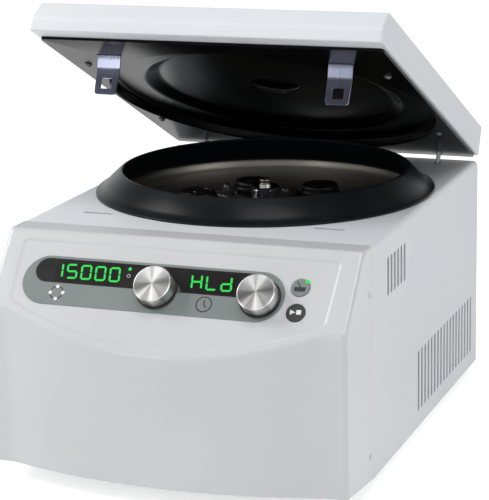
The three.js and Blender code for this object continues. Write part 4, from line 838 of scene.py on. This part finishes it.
gasket = turned([(162.2, GASKET_FOOT), (162.2, 211.9), (156.4, 214.3), (148.55, 222.9), (138.5, 231.5),
                 (136.1, 231.5), (136.1, 229.1), (146.8, 208.8), (146.8, 208.5), (148.4, 208.5),
                 (148.4, GASKET_FOOT)], WIDE_SIDES, True, {1: 0.7, 2: 3.5, 3: 6, 4: 1.1, 5: 1.0, 6: 0.8})
lip = piece("lip_gasket", moved(gasket, shift(0, CHAMBER_Y)), BENCH, "case", epdm_rubber,
            ["bowl_gasket"])
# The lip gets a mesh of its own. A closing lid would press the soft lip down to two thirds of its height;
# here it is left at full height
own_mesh(lip)


# Rotor: cast head with a fixing on each arm, trunnion pins, collar, centre screw and swinging buckets

def rotor_casting():
    bm = turned([(0, 178), (17, 178), (20, 181), (20, 197), (18.6, 198), (0, 198)], 72, cuts={1: 1, 3: 1})
    for i in range(PLACES):
        arm = wire([(12, -10, 0), (34, -7, 0), (80, -7, 0), (80, 7, 0), (34, 7, 0), (12, 10, 0)], True,
                   {1: 6, 2: 5, 3: 5, 4: 6})
        arm = plate(sheet(arm), 12)
        bmesh.ops.bevel(arm, geom=[e for e in arm.edges if e.calc_face_angle(0) > 1.2], offset=1.2,
                        offset_type="OFFSET", segments=3, profile=0.5, affect="EDGES", material=-1)
        merged(bm, moved(arm, shift(0, 0, 194), tilt(PLACE_TURN * (i + 0.5), "Z")))
    return moved(bm, shift(0, CHAMBER_Y))


piece("rotor_casting", rotor_casting(), BENCH, "rotor", cast_aluminium, ["rotor_head"])


def lock_nut():
    """A domed nut: six flats with turned corners, under a rounded crown and over a thin washer."""
    bm = turned([(0, 193.8), (5.6, 193.8), (5.6, 194.6), (4.6, 194.7)], 32, cuts={2: 0.2})
    flats = ring(4.7, 6)
    made = bmesh.ops.extrude_edge_only(flats, edges=flats.edges[:])
    high = [g for g in made["geom"] if isinstance(g, bmesh.types.BMVert)]
    bmesh.ops.translate(flats, vec=(0, 0, 5), verts=high)
    bmesh.ops.holes_fill(flats, edges=flats.edges, sides=0)
    bmesh.ops.recalc_face_normals(flats, faces=flats.faces)
    bmesh.ops.bevel(flats, geom=flats.edges[:], offset=0.4, offset_type="OFFSET", segments=3, profile=0.5,
                    affect="EDGES", material=-1)
    crown = turned([(3.9, 199.2), (3.9, 201.4), (3.2, 203.6), (1.6, 204.8), (0, 205)], 32,
                   cuts={1: 0.8, 2: 1.2})
    return merged(bm, moved(flats, shift(0, 0, 194.4)), crown)


def arm_screw():
    """A low round-headed screw with a hexagon socket."""
    bm = turned([(0, 193.8), (4.6, 193.8), (4.6, 195.6), (3.9, 196.9), (2.7, 197.3)], 32,
                cuts={2: 0.5, 3: 0.5})
    socket = moved(ring(2.2, 6), shift(0, 0, 197.3))
    made = bmesh.ops.extrude_edge_only(socket, edges=socket.edges[:])
    low = [g for g in made["geom"] if isinstance(g, bmesh.types.BMVert)]
    bmesh.ops.translate(socket, vec=(0, 0, -2), verts=low)
    bmesh.ops.contextual_create(socket, geom=[e for e in socket.edges if max(v.co.z for v in e.verts) < 196])
    rim = copied([e for e in bm.edges if e.is_boundary and max(v.co.z for v in e.verts) > 197])
    mouth = copied([e for e in socket.edges if e.is_boundary and min(v.co.z for v in e.verts) > 197])
    top = sheet(rim, mouth)
    return clean(merged(bm, socket, top))


def trunnion_pin():
    """One pin on its axis, from its root in the arm outwards."""
    return turned([(0, 16), (2.4, 16), (3, 16.8), (3, 37), (0, 37)], 24, cuts={2: 0.2})


for i in range(PLACES):
    fixing = lock_nut() if i % 3 == 2 else arm_screw()
    moved(fixing, shift(FIXING_RADIUS, 0), tilt(PLACE_TURN * (i + 0.5), "Z"), shift(0, CHAMBER_Y))
    piece(f"arm_fixing_{i + 1}", fixing, BENCH, "rotor", dull_zinc)

for i in range(PLACES):
    pair = merged(trunnion_pin(), moved(trunnion_pin(), tilt(180, "X")))
    moved(pair, tilt(90, "X"), shift(BUCKET_RADIUS, 0, TRUNNION_Z))
    moved(pair, tilt(PLACE_TURN * i, "Z"), shift(0, CHAMBER_Y))
    piece(f"trunnion_pins_{i + 1}", pair, BENCH, "rotor", nickel_plate)


def knurled_collar():
    """A turned collar whose side carries upright ridges between two plain lands."""
    bm = turned([(3.9, 0), (13.0, 0), (13.6, 0.6), (13.6, 1.6), (13.2, 2.0), (13.2, 11.2), (13.6, 11.6),
                 (13.6, 13.2), (12.8, 14), (3.9, 14)], 72, True)
    middles = {f: f.calc_center_median() for f in bm.faces}
    grip = [f for f, middle in middles.items() if abs(middle.z - 6.6) < 1 and middle.xy.length > 11]
    bmesh.ops.inset_individual(bm, faces=grip, thickness=0.22, depth=0.35, use_even_offset=True)
    return moved(bm, shift(0, CHAMBER_Y, 198.3))


piece("collar", knurled_collar(), BENCH, "rotor", bright_chrome, ["rotor_collar"], 20)

screw = turned([(0, 168), (3.6, 168), (3.6, 212.5), (5.6, 212.5), (5.6, 213.8), (4.7, 214.3), (4.7, 214.9),
                (5.2, 215.4), (5.2, 218.2), (4.4, 219), (1.6, 219), (1.2, 218.4), (0, 218.4)], 48,
               cuts={8: 0.3})
piece("centre_screw", moved(screw, shift(0, CHAMBER_Y)), BENCH, "rotor", nickel_plate,
      ["rotor_screw"])


def bucket_cup():
    """A tapered cup with a collar, and a boss for each trunnion pin."""
    cup = turned([(0, 134), (14.5, 134), (17, 180), (18.6, 182), (18.6, 191.7), (17, 191.7), (17, 200),
                  (14, 200), (14, 138), (0, 138)], 64, cuts={1: 2, 3: 0.5, 4: 0.4, 6: 0.6, 8: 3})
    bosses = [moved(turned([(3.2, 16), (5.2, 16), (5.2, 18.4), (4.8, 18.8), (3.2, 18.8)], 32, True),
                    tilt(way, "X")) for way in (90, -90)]
    return merged(cup, moved(merged(*bosses), shift(0, 0, TRUNNION_Z)))


def bucket_cap():
    """A stepped screw cap that grips the cup's rim."""
    return turned([(17.3, 192), (19.3, 192), (20, 192.9), (20, 197), (19.4, 197.7), (18.3, 197.8),
                   (18.2, 201.6), (16.8, 203), (13.4, 203), (12.8, 202.3), (5.4, 202.3), (5, 202.8),
                   (0, 202.9), (0, 200.4), (17.3, 200.4)], 64, True, {1: 0.4, 3: 0.4, 6: 0.8, 8: 0.3})


for i in range(PLACES):
    for name, bm, node in (("cup", bucket_cup(), "bucket"), ("cup_cap", bucket_cap(), "bucket_cap")):
        moved(bm, shift(BUCKET_RADIUS, 0), tilt(PLACE_TURN * i, "Z"), shift(0, CHAMBER_Y))
        piece(f"{name}_{i + 1}", bm, BENCH, f"bucket_{i + 1}_body", black_nylon,
              [f"{node}_{i + 1}"])


# Control field: foil with its window, digits, lamps and icons, two knobs and two buttons

def rounded_bar(x0, x1, s0, s1, ends):
    """A bar outline on the panel whose named ends are half rounds."""
    bm = bmesh.new()
    corners = [bm.verts.new(p) for p in ((x0, -s0, 0), (x1, -s0, 0), (x1, -s1, 0), (x0, -s1, 0))]
    for pair in zip(corners, corners[1:] + corners[:1]):
        bm.edges.new(pair)
    turns = [corners[i] for i in ends]
    bmesh.ops.bevel(bm, geom=turns, offset=(s1 - s0) / 2 - 0.01, offset_type="OFFSET", segments=14,
                    profile=0.5, affect="VERTICES", material=-1)
    return bm


foil = sheet(rounded_bar(-138.3, 104.7, 25, 71.5, (0, 1, 2, 3)),
             rounded_bar(-128.6, 83.8, 27.3, 50.6, (0, 3)))
piece("front_foil", moved(plate(foil, 0.6), shift(0, 0, -0.4)), PANEL, "case", printed_foil,
      ["label_bar"])

pane = plate(sheet(rounded_bar(-128.3, 83.5, 27.6, 50.3, (0, 3))), 0.8)
bmesh.ops.bevel(pane, geom=[e for e in pane.edges if e.calc_face_angle(0) > 1.2], offset=0.15,
                offset_type="OFFSET", segments=2, profile=0.5, affect="EDGES", material=-1)
piece("window_pane", moved(pane, shift(0, 0, -0.2)), PANEL, "case", tinted_acrylic,
      ["display_window"])


def printed(name, bm, body, material, height):
    """Flat artwork or lamps that lie on the panel."""
    piece(name, moved(plate(bm, INK_DEPTH), shift(0, 0, height)), PANEL, body, material)


fields = merged(sheet(rectangle(-109, -45.5, -49, -30)), sheet(rectangle(16.8, 59.2, -49, -30)))
printed("display_fields", fields, "case", display_acrylic, -0.17)


def stroke(length, thickness, sides=6):
    """A bar with pointed ends, or round ones with more sides, in XY about its middle."""
    bm = bmesh.new()
    bmesh.ops.create_circle(bm, cap_ends=True, radius=thickness / 2, segments=sides)
    if sides == 6:
        bmesh.ops.rotate(bm, cent=(0, 0, 0), matrix=Matrix.Rotation(math.pi / 6, 3, "Z"), verts=bm.verts)
        bmesh.ops.scale(bm, vec=(1, 1 / math.cos(math.pi / 6), 1), verts=bm.verts)
    for way in (-1, 1):
        half = [v for v in bm.verts if v.co.x * way > 1e-6]
        bmesh.ops.translate(bm, vec=(way * (length - thickness) / 2, 0, 0), verts=half)
    return bm


SEGMENTS = {"a": (0, 1, 0), "b": (1, 0.5, 90), "c": (1, -0.5, 90), "d": (0, -1, 0), "e": (-1, -0.5, 90),
            "f": (-1, 0.5, 90), "g": (0, 0, 0)}
GLYPHS = {"0": "abcdef", "1": "bc", "5": "acdfg", "H": "bcefg", "L": "def", "d": "bcdeg"}


def digit(glyph, x, s):
    """One seven-segment figure about its middle, leaning as the display does."""
    bm = bmesh.new()
    half_wide, half_tall = 4.3, 6.3
    for name in GLYPHS[glyph]:
        across, upward, turn = SEGMENTS[name]
        length = 2 * half_wide - 0.7 if turn == 0 else half_tall - 0.5
        place = shift(across * half_wide, upward * half_tall)
        merged(bm, moved(stroke(length, 1.75), tilt(turn, "Z"), place))
    lean = Matrix(((1, -0.13, 0, x), (0.06, 1, 0, -s), (0, 0, 1, 0), (0, 0, 0, 1)))
    return moved(bm, lean)


for name, figures, first, s in (("speed_digits", "15000", -107.2, 38.8), ("time_digits", "HLd", 23.6, 39.2)):
    row = bmesh.new()
    for i, glyph in enumerate(figures):
        merged(row, digit(glyph, first + 13.55 * i, s))
    printed(name, row, "case", lit_segment, -0.13)

printed("unit_lamp_lit", moved(stroke(3.1, 3.1, 32), shift(-40.2, -32.2)), "case",
        lit_segment, -0.13)
rings = [moved(ring(radius, 32), shift(-39.9, -38.8)) for radius in (1.6, 1.3)]
printed("unit_lamp_dark", sheet(*rings), "case", pale_ink, -0.13)


def arc_band(radius, width, start, sweep, steps=12):
    """A printed band round a centre."""
    bm = wire([(radius - width / 2, 0, 0), (radius + width / 2, 0, 0)])
    moved(bm, tilt(start, "Z"))
    bmesh.ops.spin(bm, geom=bm.verts[:] + bm.edges[:], cent=(0, 0, 0), axis=(0, 0, 1), dvec=(0, 0, 0),
                   angle=math.radians(sweep), steps=steps, use_merge=sweep == 360, use_duplicate=False)
    clean(bm)
    if bm.faces and sum(f.normal.z for f in bm.faces) < 0:
        bmesh.ops.reverse_faces(bm, faces=bm.faces)
    return bm


clock = arc_band(6.9, 1.15, 0, 360, 48)
for length, turn, at in ((4.2, 92, (-0.1, 2.0)), (4.0, -52, (1.2, -1.5))):
    merged(clock, moved(stroke(length, 1.15, 16), tilt(turn, "Z"), shift(*at)))
printed("clock_icon", moved(clock, shift(34.8, -59.5)), "case", dark_ink, -0.36)

arcs, dots = bmesh.new(), bmesh.new()
for i in range(4):
    merged(arcs, arc_band(5.9, 1.1, 22 + 90 * i, 46, 8))
    merged(dots, moved(stroke(3.3, 3.3, 24), shift(5.9, 0), tilt(4 + 90 * i, "Z")))
printed("rotor_icon_arcs", moved(arcs, shift(-102.9, -60)), "case", dark_ink, -0.36)
printed("rotor_icon_dots", moved(dots, shift(-102.9, -60)), "case", pale_ink, -0.36)


def knob_cap(x):
    """A thin turned cap with a chamfer, unwrapped round its centre so that its grain runs in rings."""
    bm = turned([(15, 1.4), (17, 1.4), (17, 13.2), (16.2, 14), (0, 14), (0, 12), (15, 12)], 96, True,
                {1: 0.2, 2: 0.35, 3: 0.35})
    layer = bm.loops.layers.uv.new("turning")
    for face in bm.faces:
        middle = face.calc_center_median()
        home = math.atan2(middle.y, middle.x)
        for loop in face.loops:
            point = loop.vert.co
            off = math.atan2(point.y, point.x) - home if point.xy.length > 0.01 else 0
            off = (off + math.pi) % TURN - math.pi
            loop[layer].uv = ((home + off) / TURN, (point.xy.length + point.z) / 40)
    return moved(bm, shift(x, -KNOB_S))


for knob, body in (("speed", "speed_control"), ("time", "time_control")):
    x = KNOB_X[knob]
    base = turned([(0, -7.6), (3, -7.6), (3, 0.1), (17.9, 0.1), (18.4, 0.5), (18.4, 0.8), (18.0, 1.1),
                   (14.7, 1.1), (14.7, 11.7), (0, 11.7)], 96)
    piece(f"{knob}_knob_base", moved(base, shift(x, -KNOB_S)), PANEL, body, black_nylon,
          [f"{knob}_knob"])
    piece(f"{knob}_knob_face", knob_cap(x), PANEL, body,
          turned_aluminium(f"turned_aluminium_{knob}", (x, -KNOB_S, 0)), [f"{knob}_knob_cap"])


def push_button():
    return turned([(0, -0.2), (8.3, -0.2), (8.3, -3.3), (10, -3.3), (10, -5.3), (2.5, -5.3), (2.5, -6.5),
                   (0, -6.5)], 64, cuts={1: 0.45, 3: 0.3})


x, s = BUTTONS["lid"]
piece("lid_button_cap", moved(push_button(), shift(x, -s)), PANEL, "lid_key", printed_foil,
      ["lid_button"])
icon = sheet(wire([(-5.3, 0, 0), (5.3, 0, 0), (4.7, -4.1, 0), (-4.7, -4.1, 0)], True,
                  {i: 0.3 for i in range(4)}))
merged(icon, moved(stroke(6.4, 1.0, 16), tilt(123, "Z"), shift(-1.3, 2.4)))
moved(icon, tilt(3, "Z"))
printed("lid_icon", moved(icon, shift(x - 0.1, -36.4)), "lid_key", dark_ink, -0.15)
printed("lid_lamp", moved(stroke(3.7, 3.7, 32), shift(121.6, -31.0)), "lid_key",
        lit_segment, -0.13)

x, s = BUTTONS["start"]
piece("start_button_cap", moved(push_button(), shift(x, -s)), PANEL, "start_key", charcoal_cap,
      ["start_button"])
play = bmesh.new()
bmesh.ops.create_circle(play, cap_ends=True, radius=2.75, segments=3)
moved(play, tilt(-90, "Z"), Matrix.Diagonal((1.15, 1, 1, 1)), shift(-3.3, 0))
merged(play, moved(sheet(rectangle(-2.1, 2.1, -2.1, 2.1, 0.2)), shift(2.7, 0)))
moved(play, tilt(3, "Z"))
printed("start_icon", moved(play, shift(x, -59.7)), "start_key", pale_ink, -0.15)


# Fixings and feet

for hand, side in SIDES.items():
    for level, z in FRONT_SCREW_Z.items():
        head = turned([(0, 1.1), (1.3, 1.1), (2.6, 0.75), (3, 0.3), (3, 0), (1.5, 0), (1.5, -6), (0, -6)], 32,
                      cuts={2: 0.3})
        moved(head, tilt(side * 90, "Y"), shift(side * HALF_CASE, FRONT_SCREW_Y, z))
        piece(f"front_screw_{hand}_{level}", head, BENCH, "case", painted_head,
              [f"fascia_screw_{hand}_{level}"])

for end, y in FOOT_Y.items():
    for hand, side in SIDES.items():
        foot = turned([(0, -9.2), (4, -9.2), (5, -10), (9.6, -10), (10.6, -9), (12, -1), (11.4, 0), (4, 0),
                       (4, 4), (0, 4)], 48, cuts={4: 0.6, 5: 0.6})
        piece(f"rubber_foot_{end}_{hand}", moved(foot, shift(side * FOOT_X, y)), BENCH, "case",
              epdm_rubber, [f"foot_{end}_{hand}"])


# Inner and rear pieces keep their own shape, with eased edges and the finish of their metal, plastic or board

for node, material, ease in (
    ("base_plate", zinc_plate, 0.3), ("rear_panel", powder_coat, 0.3), ("front_plate", zinc_plate, 0.3),
    ("hinge_rail", zinc_plate, 0.3), ("hinge_rod", spring_steel, 0.2), ("motor_mount", epdm_rubber, 0.6),
    ("motor_housing", cast_aluminium, 0.8), ("motor_shaft", spring_steel, 0.3),
    ("drive_board", epoxy_board, 0.2), ("control_board", epoxy_board, 0.2),
    ("lock_frame", zinc_plate, 0.3), ("lock_slide", spring_steel, 0.3),
    ("power_inlet", black_nylon, 0.4), ("switch_frame", black_nylon, 0.4), ("power_switch", black_nylon, 0.4),
):
    kept = bpy.data.objects[node]
    kept.data.materials.clear()
    kept.data.materials.append(material)
    weld = kept.modifiers.new("weld", "WELD")
    weld.merge_threshold = 2e-5
    rounding = kept.modifiers.new("ease", "BEVEL")
    rounding.width, rounding.segments = ease * 0.001, 2
    rounding.limit_method, rounding.angle_limit = "ANGLE", math.radians(40)
    even = kept.modifiers.new("even_shading", "WEIGHTED_NORMAL")
    even.keep_sharp = True


# Camera where the photograph's perspective puts it, and plain studio light

def camera():
    azimuth, elevation, roll = math.radians(20.9017), math.radians(14.3646), math.radians(-1.162)
    back = Vector((math.sin(azimuth) * math.cos(elevation), -math.cos(azimuth) * math.cos(elevation),
                   math.sin(elevation)))
    right = (-back).cross(Vector((0, 0, 1))).normalized()
    up = right.cross(-back)
    across = math.cos(roll) * right + math.sin(roll) * up
    upward = -math.sin(roll) * right + math.cos(roll) * up
    aim, distance = Vector((-89.64, 362.27, 98.51)), 2123.64
    spot = (aim + distance * back) / 1000 + Vector((0, case_corner.y, case_corner.z))
    lens = bpy.data.cameras.new("camera")
    lens.lens, lens.sensor_width, lens.sensor_fit = 143.06, 36, "AUTO"
    lens.clip_start = 0.01
    obj = bpy.data.objects.new("camera", lens)
    obj.matrix_world = Matrix.Translation(spot) @ Matrix((across, upward, back)).transposed().to_4x4()
    bpy.context.scene.collection.objects.link(obj)
    bpy.context.scene.camera = obj


def surroundings():
    """White to the camera, an even soft light, and in mirrors a room that is pale low down, dark overhead."""
    world = bpy.data.worlds.new("studio")
    world.use_nodes = True
    tree = world.node_tree
    tree.nodes.clear()
    path = add(tree, "ShaderNodeLightPath").outputs
    seen = add(tree, "ShaderNodeMath", {0: path["Is Camera Ray"], 1: path["Is Transmission Ray"]},
               operation="MAXIMUM")
    ray = add(tree, "ShaderNodeTexCoord").outputs["Generated"]
    height = add(tree, "ShaderNodeSeparateXYZ", {"Vector": ray}).outputs["Z"]
    room = add(tree, "ShaderNodeValToRGB", {"Fac": height})
    pale, dark = room.color_ramp.elements
    pale.position, pale.color = 0.22, (1, 1, 1, 1)
    dark.position, dark.color = 0.5, (0.05, 0.05, 0.055, 1)
    soft = add(tree, "ShaderNodeBackground", None, {"Color": linear("#ffffff"), "Strength": 0.38})
    walls = add(tree, "ShaderNodeBackground", {"Color": room.outputs["Color"]}, {"Strength": 1.0})
    white = add(tree, "ShaderNodeBackground", None, {"Color": linear("#ffffff"), "Strength": 1.0})
    mirrored = add(tree, "ShaderNodeMixShader",
                   {0: path["Is Glossy Ray"], 1: soft.outputs[0], 2: walls.outputs[0]})
    both = add(tree, "ShaderNodeMixShader",
               {0: seen.outputs["Value"], 1: mirrored.outputs[0], 2: white.outputs[0]})
    add(tree, "ShaderNodeOutputWorld", {"Surface": both.outputs[0]})
    bpy.context.scene.world = world


def paper_floor():
    """White paper: it keeps the shadow, and is lifted towards white where the camera or a mirror sees it."""
    ground = bmesh.new()
    bmesh.ops.create_grid(ground, x_segments=1, y_segments=1, size=6)
    mesh = bpy.data.meshes.new("floor")
    ground.to_mesh(mesh)
    ground.free()
    floor = bpy.data.objects.new("floor", mesh)
    bpy.context.scene.collection.objects.link(floor)
    paper = bpy.data.materials.new("paper_sweep")
    paper.use_nodes = True
    tree = paper.node_tree
    tree.nodes.clear()
    path = add(tree, "ShaderNodeLightPath").outputs
    seen = add(tree, "ShaderNodeMath", {0: path["Is Camera Ray"], 1: path["Is Glossy Ray"]},
               operation="MAXIMUM")
    diffuse = add(tree, "ShaderNodeBsdfDiffuse", None, {"Color": linear("#f7f7f7")})
    lift = add(tree, "ShaderNodeEmission", {"Strength": seen.outputs["Value"]}, {"Color": linear("#cacaca")})
    both = add(tree, "ShaderNodeAddShader", {0: diffuse.outputs[0], 1: lift.outputs[0]})
    add(tree, "ShaderNodeOutputMaterial", {"Surface": both.outputs[0]})
    mesh.materials.append(paper)


def lamp(name, place, target, size, watts):
    light = bpy.data.lights.new(name, "AREA")
    light.shape, light.size, light.energy = "SQUARE", size, watts
    obj = bpy.data.objects.new(name, light)
    place, target = Vector(place), Vector(target)
    aim = (target - place).to_track_quat("-Z", "Y").to_matrix().to_4x4()
    obj.matrix_world = Matrix.Translation(place) @ aim
    bpy.context.scene.collection.objects.link(obj)


camera()
bpy.context.scene.view_settings.view_transform = "Standard"
surroundings()
paper_floor()
lamp("left_softbox", (-2.0, -0.7, 1.9), (0, 0, 0.15), 1.2, 34)
lamp("top_softbox", (0.5, -0.9, 2.6), (0, 0, 0.15), 1.2, 20)
lamp("right_softbox", (2.3, -0.9, 1.2), (0, 0, 0.1), 1.2, 9)
lamp("fold_light", (-0.9, -2.0, 0.95), (0, 0, 0.15), 0.25, 2)
